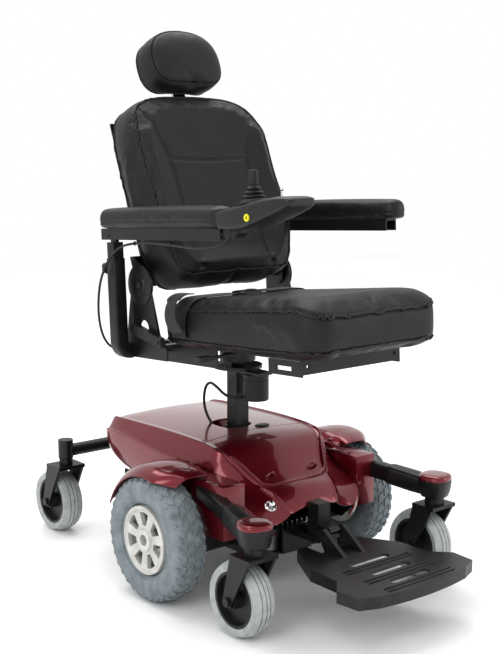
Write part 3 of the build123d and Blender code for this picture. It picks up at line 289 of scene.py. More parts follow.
# %% The shelf of finishes
LACQUER = candy_lacquer()
VINYL = vinyl("black upholstery vinyl", "#151212", "#1d1919", 0.50)
ARM_VINYL = vinyl("black armrest skin", "#141212", "#1c1a1a", 0.40)
POWDER = textured("satin black powder coat", "#121111", "#1b1a1a", 0.36, 1.5, 0.12)
CHASSIS_BLACK = textured("chassis black enamel", "#0e0e0e", "#171717", 0.45, 2.5, 0.12)
MOULDED = textured("moulded black ABS", "#1a1918", "#252322", 0.42, 1.2, 0.10)
FOOT_PLASTIC = textured("moulded glass-filled nylon", "#1c1c1a", "#292927", 0.36, 1.4, 0.10)
NYLON = textured("charcoal nylon hub", "#1b1b1c", "#272829", 0.45, 1.6, 0.10)
GREY_PLASTIC = textured("grey moulded grip", "#3a3d3c", "#4a4d4c", 0.45, 1.5, 0.10)
TYRE_GREY = textured(
    "non-marking grey tyre rubber", "#757d81", "#8a9296", 0.72, 2.2, 0.20, patch_mm=24, ior=1.52
)
CASTER_GREY = textured("pale grey caster rubber", "#9ea3a3", "#b2b6b5", 0.62, 2.2, 0.15, patch_mm=20, ior=1.52)
SILVER = textured(
    "silver wheel lacquer", "#b9b8b4", "#cfcecb", 0.34, 1.8, 0.06, Coat_Weight=0.4, Coat_Roughness=0.15
)
RUBBER = textured("moulded black rubber", "#161515", "#201f1f", 0.5, 1.5, 0.10, ior=1.52)
SHEATH = textured("black PVC cable sheath", "#131212", "#1d1c1c", 0.42, 2.0, 0.05, ior=1.54)
YELLOW = textured("yellow moulded insert", "#d7cf1e", "#e8e13a", 0.4, 1.5, 0.05)
CASE_GREY = textured("battery case polypropylene", "#34373a", "#42464a", 0.5, 1.8, 0.08)
LAMP = textured("frosted clear lamp", "#e4dcdc", "#f6f1f0", 0.2, 2.0, 0.02, Coat_Weight=0.6)
CHROME = metal("polished chrome", "#d5d6d8", "#ececec", 0.08, 3.0, 0.01)
ZINC = metal("zinc-plated bolt", "#9a9a9a", "#bdbdba", 0.28, 1.5, 0.03)
ALLOY = metal("extruded alloy", "#7f8284", "#9a9c9e", 0.35, 2.0, 0.03)
WEBBING = webbing()
print("finishes:", len(bpy.data.materials))

# %% [markdown]
# ## CAD parts that stay
# A bracket, a tube or a fork already has its true shape, so it keeps its CAD mesh and only takes a finish.
# Sharp edges catch no light, so flat and round faces are told apart by the angle between them.


# %% Finishes of the carried-over parts
def dress(node, material):
    """Gives a CAD node its finish and smooth shading up to a 35 degree edge."""
    thing = nodes[node]
    thing.data.materials.clear()
    thing.data.materials.append(material)
    thing.data.shade_smooth()
    thing.data.set_sharp_from_angle(angle=radians(35))


kept_finish = {
    "base_frame": CHASSIS_BLACK,
    "seat_column": POWDER,
    "batteries": CASE_GREY,
    "power_module": ALLOY,
    "footplate_bracket": POWDER,
    "rear_beam": POWDER,
    "lift_post": POWDER,
    "lift_motor": CHASSIS_BLACK,
    "seat_frame": POWDER,
    "swivel_lever": MOULDED,
    "back_frame": POWDER,
    "recline_lever": MOULDED,
    "joystick_gimbal": MOULDED,
    "joystick_stick": RUBBER,
    "toggle_switch": CHROME,
    "charger_socket": YELLOW,
    "footplate": FOOT_PLASTIC,
}
for side in SIDES:
    kept_finish[f"gearmotor_{side}"] = CHASSIS_BLACK
    kept_finish[f"freewheel_lever_{side}"] = GREY_PLASTIC
    kept_finish[f"drive_rim_{side}"] = SILVER
    kept_finish[f"arm_post_{side}"] = POWDER
    kept_finish[f"arm_rail_{side}"] = POWDER
    for end in ("front", "rear"):
        kept_finish[f"{end}_{side}_fork"] = POWDER
        kept_finish[f"{end}_{side}_tyre"] = CASTER_GREY
        kept_finish[f"{end}_{side}_hub"] = NYLON
for node, material in kept_finish.items():
    dress(node, material)
print("kept CAD nodes:", len(kept_finish))

# %% [markdown]
# ## Making meshes
# Most pieces are skins over a row of rings: a pad is rings of its outline at rising heights, a tube is rings
# of its section along a path. One function stitches rings into faces, and one turns points and faces into a
# named piece that rides on its body.


# %% Ring skins and pieces
def skin(rings, closed_ring=True, cap_start=True, cap_end=True):
    """Points and faces over rings of equal length; ends are closed with one face each when asked."""
    points = [Vector(p) for ring in rings for p in ring]
    count = len(rings[0])
    last = count if closed_ring else count - 1
    faces = []
    for r in range(len(rings) - 1):
        for i in range(last):
            j = (i + 1) % count
            faces.append((r * count + i, r * count + j, (r + 1) * count + j, (r + 1) * count + i))
    if cap_start:
        faces.append(tuple(reversed(range(count))))
    if cap_end:
        faces.append(tuple(range((len(rings) - 1) * count, len(rings) * count)))
    return points, faces


def make(name, points, faces, material, sharp=180):
    """A mesh object with its finish, normals out and shading smooth up to a given edge angle."""
    mesh = bpy.data.meshes.new(name)
    mesh.from_pydata([tuple(p) for p in points], [], faces)
    mesh.materials.append(material)
    work = bmesh.new()
    work.from_mesh(mesh)
    bmesh.ops.recalc_face_normals(work, faces=work.faces)
    work.to_mesh(mesh)
    work.free()
    mesh.shade_smooth()
    if sharp < 180:
        mesh.set_sharp_from_angle(angle=radians(sharp))
    thing = bpy.data.objects.new(name, mesh)
    bpy.context.scene.collection.objects.link(thing)
    return thing


def bake(thing):
    """Applies every modifier of a piece to its mesh."""
    view = bpy.context.evaluated_depsgraph_get()
    mesh = bpy.data.meshes.new_from_object(thing.evaluated_get(view))
    old = thing.data
    thing.modifiers.clear()
    thing.data = mesh
    bpy.data.meshes.remove(old)
    thing.data.name = thing.name
    return thing


def refine(thing, levels=1):
    """One or more subdivisions, applied."""
    smooth = thing.modifiers.new("smooth", "SUBSURF")
    smooth.levels = levels
    smooth.render_levels = levels
    bake(thing)
    thing.data.shade_smooth()
    return thing


def frames_along(points):
    """A right-handed normal pair at each point of a path, carried along without twist."""
    tangents = []
    for i in range(len(points)):
        ahead = points[min(i + 1, len(points) - 1)]
        behind = points[max(i - 1, 0)]
        tangents.append((ahead - behind).normalized())
    side = tangents[0].orthogonal().normalized()
    pairs = []
    for tangent in tangents:
        side = (side - tangent * side.dot(tangent)).normalized()
        pairs.append((side.copy(), tangent.cross(side)))
    return pairs


def tube_rings(points, radius, sides=12):
    """Round rings along a path; radius may be one number or one for each point."""
    points = [Vector(p) for p in points]
    radii = radius if isinstance(radius, (list, tuple)) else [radius] * len(points)
    rings = []
    for point, (u, v), r in zip(points, frames_along(points), radii):
        turns = [2 * pi * k / sides for k in range(sides)]
        rings.append([point + (u * cos(a) + v * sin(a)) * r for a in turns])
    return rings


def flowing(points, steps=8, loop=False):
    """A smooth line through given points (Catmull-Rom)."""
    points = [Vector(p) for p in points]
    count = len(points)
    out = []
    for i in range(count if loop else count - 1):
        p0 = points[(i - 1) % count] if loop or i > 0 else points[0]
        p1 = points[i]
        p2 = points[(i + 1) % count]
        p3 = points[(i + 2) % count] if loop or i + 2 < count else points[-1]
        for s in range(steps):
            t = s / steps
            square = (2 * p0 - 5 * p1 + 4 * p2 - p3) * t**2
            cube = (3 * p1 - p0 - 3 * p2 + p3) * t**3
            out.append(0.5 * ((2 * p1) + (p2 - p0) * t + square + cube))
    if not loop:
        out.append(points[-1])
    return out


def join(name, things):
    """Merges several meshes into the first one and names it."""
    work = bmesh.new()
    materials = []
    for thing in things:
        start = len(work.faces)
        work.from_mesh(thing.data)
        work.faces.ensure_lookup_table()
        for material in thing.data.materials:
            if material not in materials:
                materials.append(material)
        slots = [materials.index(m) for m in thing.data.materials]
        for face in work.faces[start:]:
            face.material_index = slots[face.material_index]
    first = things[0]
    work.to_mesh(first.data)
    work.free()
    first.data.materials.clear()
    for material in materials:
        first.data.materials.append(material)
    for thing in things[1:]:
        bpy.data.objects.remove(thing)
    first.name = name
    first.data.name = name
    return first


def fit(thing, body, slot, *stands_for):
    """A finished piece rides on its body and stands for CAD nodes; its slot is not used."""
    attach(thing, body)
    if stands_for:
        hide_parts(*stands_for)
    print(f"{thing.name}: {len(thing.data.polygons)} faces on {body}")
    return thing


# %% [markdown]
# ## Foam and vinyl
# A cushion is a foam block in a sewn cover that is a little too small for it, so its panels swell between
# their seams. The block is skinned with rings, remeshed into even cells and blown up by a cloth simulation
# with air pressure, and no point may move further than a few millimetres. Seams are pressed in afterwards,
# because the remesh would wipe them out, and the piping is a thin vinyl-covered cord laid on the seam.


# %% Puffing, seams and piping
def puff(thing, voxel_mm, most_mm, pressure=4.0, smooth_rounds=4):
    """Even cells, then a short pressure simulation with its movement capped, then one subdivision."""
    cells = thing.modifiers.new("cells", "REMESH")
    cells.mode = "VOXEL"
    cells.voxel_size = voxel_mm * MM
    even = thing.modifiers.new("even", "SMOOTH")
    even.iterations = smooth_rounds
    bake(thing)
    rest = [v.co.copy() for v in thing.data.vertices]
    cloth = thing.modifiers.new("air", "CLOTH")
    cloth.settings.use_pressure = True
    cloth.settings.uniform_pressure_force = pressure
    cloth.settings.effector_weights.gravity = 0
    cloth.settings.quality = 4
    cloth.point_cache.frame_start = 1
    cloth.point_cache.frame_end = 20
    scene = bpy.context.scene
    for step in range(1, 21):
        scene.frame_set(step)
    bake(thing)
    scene.frame_set(1)
    for vertex, start in zip(thing.data.vertices, rest):
        move = vertex.co - start
        if move.length > most_mm * MM:
            vertex.co = start + move.normalized() * most_mm * MM
    return refine(thing)


def press(thing, lines, width_mm, depth_mm):
    """Presses seams into a surface: points near a line sink along their normals."""
    dense = [p for line in lines for p in line]
    tree = KDTree(len(dense))
    for i, point in enumerate(dense):
        tree.insert(point, i)
    tree.balance()
    width = width_mm * MM
    normals = [v.normal.copy() for v in thing.data.vertices]
    for vertex, normal in zip(thing.data.vertices, normals):
        gap = tree.find(vertex.co)[2]
        if gap < 3 * width:
            vertex.co -= normal * depth_mm * MM * exp(-((gap / width) ** 2))


def lay(thing, points, steps=10, loop=False, lift_mm=0.0):
    """A smooth line through the points, dropped onto the nearest surface of a piece."""
    tree = BVHTree.FromObject(thing, bpy.context.evaluated_depsgraph_get())
    line = []
    for point in flowing(points, steps, loop):
        spot, normal, _, _ = tree.find_nearest(point)
        line.append(spot + normal * lift_mm * MM)
    return line


def piping(name, line, radius_mm, material, loop=False):
    """A round cord along a line; a loop closes on its first ring."""
    rings = tube_rings(line, radius_mm * MM, 8)
    if loop:
        rings.append(rings[0])
    points, faces = skin(rings, cap_start=not loop, cap_end=not loop)
    return make(name, points, faces, material)


def rounded_plan(x_low, x_high, y_low, y_high, front_r, rear_r, inset=0.0, per_corner=9, per_side=14):
    """A rounded rectangle in plan, drawn anticlockwise from the front left corner, in millimetres."""
    x_low, x_high = x_low + inset, x_high - inset
    y_low, y_high = y_low + inset, y_high - inset
    front = max(front_r - inset, 5)
    rear = max(rear_r - inset, 5)
    corners = [
        ((x_high - front, y_low + front), front, -90),
        ((x_high - rear, y_high - rear), rear, 0),
        ((x_low + rear, y_high - rear), rear, 90),
        ((x_low + front, y_low + front), front, 180),
    ]
    out = []
    for n, ((cx, cy), r, begin) in enumerate(corners):
        arc = []
        for k in range(per_corner):
            angle = radians(begin + 90 * k / (per_corner - 1))
            arc.append((cx + r * cos(angle), cy + r * sin(angle)))
        out += arc
        (nx, ny), nr, nbegin = corners[(n + 1) % 4]
        ahead = (nx + nr * cos(radians(nbegin)), ny + nr * sin(radians(nbegin)))
        for k in range(1, per_side):
            t = k / per_side
            out.append((arc[-1][0] * (1 - t) + ahead[0] * t, arc[-1][1] * (1 - t) + ahead[1] * t))
    return out


# %% [markdown]
# ## Seat cushion
# The seat is a deep foam block on a pan. Its top falls away at the front edge so that it doesn't press
# behind the knees, its side walls swell between an upper and a lower seam, and both seams are piped.

# %% Seat cushion shape
SEAT_HALF = 189.0
SEAT_FRONT = -459.0
SEAT_REAR = 39.0
SEAT_LOW = 54.0


def seat_top(y):
    """Height of the top seam along the seat: it rises towards the front and rolls over at the edge."""
    t = (y - SEAT_REAR) / (SEAT_FRONT - SEAT_REAR)
    return 126 + 27 * t - 22 * max(0.0, (t - 0.84) / 0.16) ** 2


def seat_ring(inset, level, lift=0.0):
    """A ring of the seat's outline; level runs from 0 at the lower seam to 1 at the upper seam."""
    ring = []
    for x, y in rounded_plan(-SEAT_HALF, SEAT_HALF, SEAT_FRONT, SEAT_REAR, 56, 26, inset):
        low = SEAT_LOW + 5 * max(0.0, (-y - 330) / 129) ** 2
        ring.append(at(SEAT, x, y, low + (seat_top(y) - low) * level + lift))
    return ring


seat_rings = [
    seat_ring(90, 0, 1),
    seat_ring(30, 0, 0),
    seat_ring(9, 0, 0),
    seat_ring(5, 0, 5),
    seat_ring(3, 0.35),
    seat_ring(3, 0.7),
    seat_ring(6, 1.0, -3),
    seat_ring(12, 1.0, 2),
    seat_ring(34, 1.0, 7),
    seat_ring(70, 1.0, 9),
    seat_ring(120, 1.0, 8),
    seat_ring(150, 1.0, 7),
]
cushion = make("seat_cushion_vinyl", *skin(seat_rings), VINYL)
puff(cushion, 6, 9)
upper = lay(cushion, seat_ring(6, 1.0, 0)[::3], 6, loop=True)
lower = lay(cushion, seat_ring(6, 0, 2)[::3], 6, loop=True)
panel_y = -330
panel = lay(cushion, [at(SEAT, x, panel_y + 12 * (x / 150) ** 2, 160) for x in range(-175, 176, 25)], 6)
press(cushion, [upper, lower], 4.0, 3.0)
press(cushion, [panel], 3.0, 2.4)
seat_cords = [
    piping("upper_piping", lay(cushion, seat_ring(6, 1.0, 0)[::3], 6, True, 1.0), 2.6, VINYL, True),
    piping("lower_piping", lay(cushion, seat_ring(6, 0, 2)[::3], 6, True, 1.0), 2.6, VINYL, True),
]
seat_piping = join("seat_piping", seat_cords)
fit(cushion, "seat", "vinyl_black", "seat_cushion")
fit(seat_piping, "seat", "vinyl_black")

# %% [markdown]
# ## Back cushion
# The back is a moulded foam shell with bolsters that stand forward along its edges and hold the sitter. The
# cover has a piped edge all round the front, a seam across at the height of the shoulder blades, and two
# long seams that run down inside the bolsters.

# %% Back cushion shape
BACK_OUTLINE = [
    (0, -20),
    (80, -22),
    (142, -20),
    (166, 8),
    (181, 60),
    (190, 120),
    (193, 200),
    (192, 290),
    (184, 345),
    (166, 388),
    (130, 412),
    (80, 421),
    (0, 424),
]
BACK_REAR = 19.0
BACK_FRONT = -80.0


def back_edge(up):
    """Depth of the piped front edge at a height: it stands further forward low down."""
    line = [(-30, -100), (79, -107), (145, -107), (206, -97), (318, -95), (404, -76), (430, -72)]
    for (u0, d0), (u1, d1) in zip(line, line[1:]):
        if up <= u1:
            t = max(0.0, (up - u0) / (u1 - u0))
            return d0 + (d1 - d0) * t
    return line[-1][1]


def back_ring(shrink, depth=None, edge=0.0, hollow=0.0):
    """The outline pulled in towards its middle; without a depth it lies edge mm behind the piped edge."""
    half = flowing([Vector((x, 0, z)) for x, z in BACK_OUTLINE], 5)
    outline = [(p.x, p.z) for p in half] + [(-p.x, p.z) for p in reversed(half[1:-1])]
    middle = 200
    ring = []
    for x, z in outline:
        pull_x = 1 - shrink / 193
        pull_z = 1 - shrink / 222
        px, pz = x * pull_x, middle + (z - middle) * pull_z
        front = back_edge(pz) * (1 - hollow) + BACK_FRONT * hollow
        ring.append(at(BACK, px, depth if depth is not None else front + edge, pz))
    return ring


back_rings = [
    back_ring(100, BACK_REAR),
    back_ring(30, BACK_REAR),
    back_ring(10, BACK_REAR - 2),
    back_ring(3, BACK_REAR - 12),
    back_ring(2, -30),
    back_ring(3, None, 22),
    back_ring(6, None, 6),
    back_ring(10, None, -1),
    back_ring(24, None, -5),
    back_ring(44, None, -1, 0.35),
    back_ring(70, None, 0, 0.85),
    back_ring(100, None, 0, 1.0),
    back_ring(140, None, 1, 1.0),
    back_ring(175, None, 2, 1.0),
]
back = make("back_cushion_vinyl", *skin(back_rings), VINYL)
puff(back, 6, 8)
edge_line = back_ring(8, None, 3)[::4]
rear_line = back_ring(4, BACK_REAR - 14)[::4]
cross_seam = [at(BACK, x, -90, 252 + 5 * (x / 109) ** 2) for x in range(-108, 109, 24)]
LONG_SEAM = ((164, 388), (142, 345), (121, 295), (109, 256), (104, 200), (101, 110), (99, 10))
long_seams = [
    [at(BACK, side * x, -95, z) for x, z in LONG_SEAM]
    for side in (1, -1)
]
press(back, [lay(back, edge_line, 6, True), lay(back, rear_line, 6, True)], 4.0, 2.6)
press(back, [lay(back, cross_seam, 8), *[lay(back, seam, 14) for seam in long_seams]], 4.5, 4.0)
back_cords = [
    piping("edge_piping", lay(back, edge_line, 6, True, 1.2), 2.8, VINYL, True),
    piping("rear_piping", lay(back, rear_line, 6, True, 1.0), 2.2, VINYL, True),
]
back_piping = join("back_piping", back_cords)
fit(back, "back", "vinyl_black", "back_cushion")
fit(back_piping, "back", "vinyl_black")

# %% [markdown]
# ## Headrest
# A small domed pillow on a flat steel stay. It has a front and a rear panel, and a gusset between them with
# piping on both of its seams.

# %% Headrest shape
HEAD_OUTLINE = [
    (0, 425), (60, 426), (86, 436), (100, 458), (103, 490), (97, 522), (78, 548), (44, 564), (0, 569),
]
HEAD_HALF_WIDE = 103
HEAD_HALF_HIGH = 72
HEAD_FRONT = -104.0
HEAD_REAR = -20.0


def head_ring(shrink, depth):
    """The pillow's outline pulled in towards its middle, at a depth."""
    half = flowing([Vector((x, 0, z)) for x, z in HEAD_OUTLINE], 6)
    outline = [(p.x, p.z) for p in half] + [(-p.x, p.z) for p in reversed(half[1:-1])]
    middle = 496
    wide = 1 - shrink / HEAD_HALF_WIDE
    high = 1 - shrink / HEAD_HALF_HIGH
    return [at(BACK, x * wide, depth, middle + (z - middle) * high) for x, z in outline]


head_rings = [
    head_ring(50, HEAD_REAR + 2),
    head_ring(16, HEAD_REAR - 1),
    head_ring(6, HEAD_REAR - 8),
    head_ring(4, -62),
    head_ring(6, HEAD_FRONT + 16),
    head_ring(14, HEAD_FRONT + 6),
    head_ring(32, HEAD_FRONT - 1),
    head_ring(58, HEAD_FRONT - 4),
]
head = make("headrest_vinyl", *skin(head_rings), VINYL)
puff(head, 4.5, 6)
front_line = head_ring(8, HEAD_FRONT + 14)[::4]
back_line = head_ring(8, HEAD_REAR - 12)[::4]
press(head, [lay(head, front_line, 6, True), lay(head, back_line, 6, True)], 3.5, 2.4)
head_cords = [
    piping("front_piping", lay(head, front_line, 6, True, 1.0), 2.4, VINYL, True),
    piping("rear_piping", lay(head, back_line, 6, True, 1.0), 2.4, VINYL, True),
]
head_piping = join("headrest_piping", head_cords)
stay_plan = [(-17, -36), (17, -36), (17, -28), (-17, -28)]
stay_rings = [[at(BACK, x, y, z) for x, y in stay_plan] for z in (275, 300, 380, 440, 486)]
stay = make("headrest_stay", *skin(stay_rings), CHROME, sharp=35)
fit(head, "headrest", "vinyl_black", "headrest")
fit(head_piping, "headrest", "vinyl_black")
fit(stay, "headrest", "chrome_bright", "headrest")

# %% [markdown]
# ## Armrest pads
# Skinned urethane foam on a hidden board: a long loaf with a parting seam below its middle. The right one is
# shorter, because the controller stands in front of it.

# %% Armrest pads
ARM_X = 226.0
PAD_HALF = 28.0
PAD_REAR = 163.0
PAD_LOW = 302.0
PAD_SEAM = 315.0
PAD_HIGH = 345.0
for side_name, side in SIDES.items():
    front = -293.0 if side > 0 else -271.0

    def pad_ring(inset, z, front=front, side=side):
        low_x, high_x = side * ARM_X - PAD_HALF, side * ARM_X + PAD_HALF
        plan = rounded_plan(low_x, high_x, front, PAD_REAR, 25, 25, inset, 7, 22)
        return [at(SEAT, x, y, z) for x, y in plan]

    rings = [
        pad_ring(12, PAD_LOW + 0.6),
        pad_ring(4, PAD_LOW + 1.5),
        pad_ring(1.5, PAD_LOW + 6),
        pad_ring(1, PAD_SEAM),
        pad_ring(1.5, PAD_SEAM + 12),
        pad_ring(5, PAD_HIGH - 8),
        pad_ring(12, PAD_HIGH - 3),
        pad_ring(21, PAD_HIGH - 1),
    ]
    pad = make(f"arm_pad_{side_name}_skin", *skin(rings), ARM_VINYL)
    puff(pad, 4, 3.5)
    seam = pad_ring(0, PAD_SEAM)[::3]
    press(pad, [lay(pad, seam, 5, True)], 2.2, 1.8)
    fit(pad, f"armrest_{side_name}", "vinyl_black", f"arm_pad_{side_name}")

# %% [markdown]
# ## Shroud
# The drive base hides under two lacquered shells. Across the chair each section runs from the hem, up a
# slightly rounded side to a lower ridge, over a shoulder to a raised rim and across a low crown. Along the
# chair it narrows and dives at the nose. The skin is drawn from a few stations joined by smooth curves, made
# 3.5 mm thick, and then parted by a prism into the body and the lid.

# %% Shroud skin
# y from the axle, then hem x, z, lower ridge x, z, rim x, z and crown height, in millimetres
STATIONS = [
    (-189, 104, 150, 116, 172, 66, 188, 196),
    (-180, 128, 152, 138, 180, 74, 200, 208),
    (-158, 147, 156, 155, 200, 82, 221, 229),
    (-128, 156, 168, 164, 217, 92, 236, 243),
    (-100, 159, 182, 169, 228, 108, 258, 270),
    (-74, 162, 190, 171, 232, 128, 286, 295),
    (-50, 164, 196, 172, 239, 148, 302, 309),
    (-15, 166, 199, 173, 252, 151, 310, 318),
    (60, 168, 200, 174, 268, 152, 314, 322),
    (150, 169, 200, 175, 276, 152, 314, 322),
    (260, 167, 208, 173, 285, 151, 311, 319),
    (345, 160, 232, 168, 284, 148, 307, 312),
    (368, 146, 248, 156, 278, 136, 298, 303),
    (374, 132, 256, 142, 274, 124, 290, 294),
]
ROWS = 96
WALL = 3.5


def station_at(y):
    """Smooth values of a station at any place along the chair."""
    for i in range(len(STATIONS) - 1):
        if STATIONS[i][0] <= y <= STATIONS[i + 1][0]:
            break
    p1, p2 = STATIONS[i], STATIONS[i + 1]
    p0 = STATIONS[i - 1] if i else p1
    p3 = STATIONS[i + 2] if i + 2 < len(STATIONS) else p2
    t = (y - p1[0]) / (p2[0] - p1[0])
    span = p2[0] - p1[0]
    values = []
    for k in range(1, 8):
        m1 = (p2[k] - p0[k]) / max(1, p2[0] - p0[0]) * span
        m2 = (p3[k] - p1[k]) / max(1, p3[0] - p1[0]) * span
        values.append(
            (2 * t**3 - 3 * t**2 + 1) * p1[k]
            + (t**3 - 2 * t**2 + t) * m1
            + (3 * t**2 - 2 * t**3) * p2[k]
            + (t**3 - t**2) * m2
        )
    return values


def half_section(y):
    """Points of the right half of a section, from the hem to the middle of the crown."""
    hem_x, hem_z, low_x, low_z, high_x, high_z, crown = station_at(y)
    rim = 4.0 * min(1.0, max(0.0, (y + 128) / 12)) * min(1.0, max(0.0, (372 - y) / 30))
    out = []
    for k in range(9):
        t = k / 9
        out.append((hem_x + (low_x - hem_x) * t + 3 * sin(pi * t), hem_z + (low_z - 4 - hem_z) * t))
    out += [(low_x + 0.8, low_z - 2), (low_x + 0.4, low_z + 0.6)]
    out += [(low_x - 2, low_z + 1.6), (low_x - 4.5, low_z + 0.6)]
    for k in range(1, 9):
        t = k / 9
        dip = 3.5 * sin(pi * t)
        x = low_x - 4.5 + (high_x + 3 - low_x + 4.5) * t
        out.append((x + dip * 0.2, low_z + 0.6 + (high_z - 5 - low_z) * t - dip))
    out += [(high_x + 1.4, high_z - 2.5), (high_x, high_z + rim * 0.6)]
    out += [(high_x - 2, high_z + rim), (high_x - 4.5, high_z + rim)]
    out += [(high_x - 7, high_z + rim * 0.55), (high_x - 10, high_z + 0.2)]
    inner_x = high_x - 10
    for k in range(1, 13):
        t = k / 12
        out.append((inner_x * (1 - t), high_z + 0.2 + (crown - high_z) * sin(pi / 2 * t) ** 0.9))
    return out


def section(y):
    """A whole section across the chair, in world points."""
    half = half_section(y)
    return [at(BASE, -x, y, z) for x, z in half] + [at(BASE, x, y, z) for x, z in reversed(half[:-1])]


first, last = STATIONS[0][0], STATIONS[-1][0]
rows = [
    first + (last - first) * (0.5 - 0.5 * cos(pi * k / ROWS)) * 0.5 + (last - first) * k / ROWS * 0.5
    for k in range(ROWS + 1)
]
rings = [section(y) for y in rows]
tail = [[Vector((p.x * 0.93, p.y + 0.005, 0.262 + (p.z - 0.262) * 0.86)) for p in rings[-1]]]
shell_points, shell_faces = skin(rings + tail, closed_ring=False, cap_start=False, cap_end=False)
count = len(rings[0])
tail_row = len(shell_points) - count
for i in range(count // 2):
    j = count - 1 - i
    if j - i > 2:
        shell_faces.append((tail_row + i, tail_row + i + 1, tail_row + j - 1, tail_row + j))
shell = make("shroud_skin", shell_points, shell_faces, LACQUER)
thick = shell.modifiers.new("wall", "SOLIDIFY")
thick.thickness = WALL * MM
thick.offset = -1.0
bake(shell)
print("shroud skin", len(shell.data.polygons), "faces")

# %% [markdown]
# The lid reaches from just ahead of the post to its front lip. A closed prism over its outline takes the
# shell apart: what lies inside is the lid, what lies outside is the body, with a gap between for the shut
# line. A rounded window in the body lets the post and its lead through.


# %% Parting the shroud
def prism(name, outline, low, high):
    """An upright prism over a plan outline in axle coordinates."""
    rings = [[at(BASE, x, y, z) for x, y in outline] for z in (low, high)]
    return make(name, *skin(rings), LACQUER)


def cut(thing, tool, operation):
    """Boolean of a piece with a tool, applied."""
    step = thing.modifiers.new("cut", "BOOLEAN")
    step.operation = operation
    step.solver = "EXACT"
    step.object = tool
    return bake(thing)


def lid_plan(grow):
    half = [(146, 6), (149, -20), (147, -46), (134, -68), (118, -90), (106, -108)]
    half += [(94, -124), (70, -134), (34, -139)]
    half = [(x + grow, y - (grow if y < 0 else -grow)) for x, y in half]
    return [(-x, y) for x, y in half] + [(x, y) for x, y in reversed(half)]


def oval_plan(cx, cy, rx, ry, power=3.0):
    """A rounded window outline (superellipse)."""
    out = []
    for k in range(40):
        a = 2 * pi * k / 40
        c, s = cos(a), sin(a)
        x = rx * abs(c) ** (2 / power) * (1 if c > 0 else -1)
        y = ry * abs(s) ** (2 / power) * (1 if s > 0 else -1)
        out.append((cx + x, cy + y))
    return out


lid = shell.copy()
lid.data = shell.data.copy()
bpy.context.scene.collection.objects.link(lid)
lid.name = "shroud_lid_lacquer"
tools = [
    prism("lid_inside", lid_plan(0.0), 180, 400),
    prism("lid_outside", lid_plan(1.4), 180, 400),
    prism("window", oval_plan(-8, 80, 39, 43), 250, 400),
]
cut(lid, tools[0], "INTERSECT")
cut(shell, tools[1], "DIFFERENCE")
cut(shell, tools[2], "DIFFERENCE")
for side in SIDES.values():
    arch_plan = [(160, -153), (215, -153), (215, -3), (168, -3), (160, -30)]
    arch = prism("arch", [(side * x, y) for x, y in arch_plan], 150, 262)
    cut(shell, arch, "DIFFERENCE")
    tools.append(arch)
for tool in tools:
    bpy.data.objects.remove(tool)
for thing in (shell, lid):
    edge = thing.modifiers.new("edge", "BEVEL")
    edge.width = 0.0009
    edge.segments = 2
    edge.limit_method = "ANGLE"
    edge.angle_limit = radians(55)
    bake(thing)
    thing.data.shade_smooth()
    thing.data.set_sharp_from_angle(angle=radians(50))
shell.name = "shroud_body_lacquer"

# %% [markdown]
# The lid ends in a rolled lip, and two small loops stand on it as finger tabs. A round lamp and an oval
# service cap finish the shroud.


# %% Shroud details
def ground_plan_line(outline, lift_mm):
    """Drops a plan outline from above onto the shroud and lifts it off by a little."""
    tree = BVHTree.FromObject(lid, bpy.context.evaluated_depsgraph_get())
    line = []
    for x, y in outline:
        hit = tree.ray_cast(at(BASE, x, y, 400), Vector((0, 0, -1)))[0]
        if hit:
            line.append(hit + Vector((0, 0, lift_mm * MM)))
    return line


lip_plan = [(x * 0.965, y * 0.975) for x, y in lid_plan(0)[3:-3]]
lip = piping("lid_lip", flowing(ground_plan_line(lip_plan, 0.5), 6), 3.2, LACQUER)
tabs = []
for side in SIDES.values():
    foot = 60 * side
    z0 = ground_plan_line([(foot, -118)], 0)[0].z / MM
    loop = [
        at(BASE, foot - 13, -112, z0 - 1),
        at(BASE, foot - 9, -118, z0 + 6),
        at(BASE, foot, -121, z0 + 13),
        at(BASE, foot + 9, -118, z0 + 6),
        at(BASE, foot + 13, -112, z0 - 1),
    ]
    tabs.append(piping("tab", flowing(loop, 6), 3.0, LACQUER))
lid_trim = join("lid_lip_and_tabs", [lip, *tabs])
fit(lid, "lid", "shroud_red", "shroud_lid")
fit(lid_trim, "lid", "shroud_red")

shell_tree = BVHTree.FromObject(shell, bpy.context.evaluated_depsgraph_get())


def turned(name, profile, origin, axis, material, sides=32, sharp=40):
    """A lathe-turned piece: profile is radius and height in millimetres along an axis."""
    axis = Vector(axis).normalized()
    u = axis.orthogonal().normalized()
    v = axis.cross(u)
    rings = []
    for r, h in profile:
        ring = []
        for k in range(sides):
            a = 2 * pi * k / sides
            ring.append(Vector(origin) + axis * h * MM + (u * cos(a) + v * sin(a)) * max(r, 0.05) * MM)
        rings.append(ring)
    return make(name, *skin(rings), material, sharp)


spot, spot_normal, _, _ = shell_tree.ray_cast(at(BASE, -100, -260, 205), Vector((0, 1, 0)))
lamp_axis = (spot_normal * 0.8 + Vector((0, -0.4, 0.5))).normalized()
lamp_parts = [
    turned("lamp_ring", [(13, -4), (13, 1.5), (11, 3), (8, 2)], spot, lamp_axis, CHROME),
    turned("lamp_lens", [(9, 0), (8.6, 6), (7, 11), (4, 13.5), (0, 14)], spot, lamp_axis, LAMP, sharp=180),
]
lamp = join("nose_lamp", lamp_parts)
cap_spot = shell_tree.ray_cast(at(BASE, 34, 22, 400), Vector((0, 0, -1)))[0]
CAP_TOP = 0.3215
CAP_PROFILE = ((1, -5), (1, 0.5), (0.9, 1.8), (0.4, 2.2))
service_cap = make(
    "service_cap",
    *skin(
        [
            [
                Vector((cap_spot.x + x * k * MM, cap_spot.y + y * k * MM, CAP_TOP + dz * MM))
                for x, y in oval_plan(0, 0, 19, 12, 2)
            ]
            for k, dz in CAP_PROFILE
        ]
    ),
    MOULDED,
    40,
)
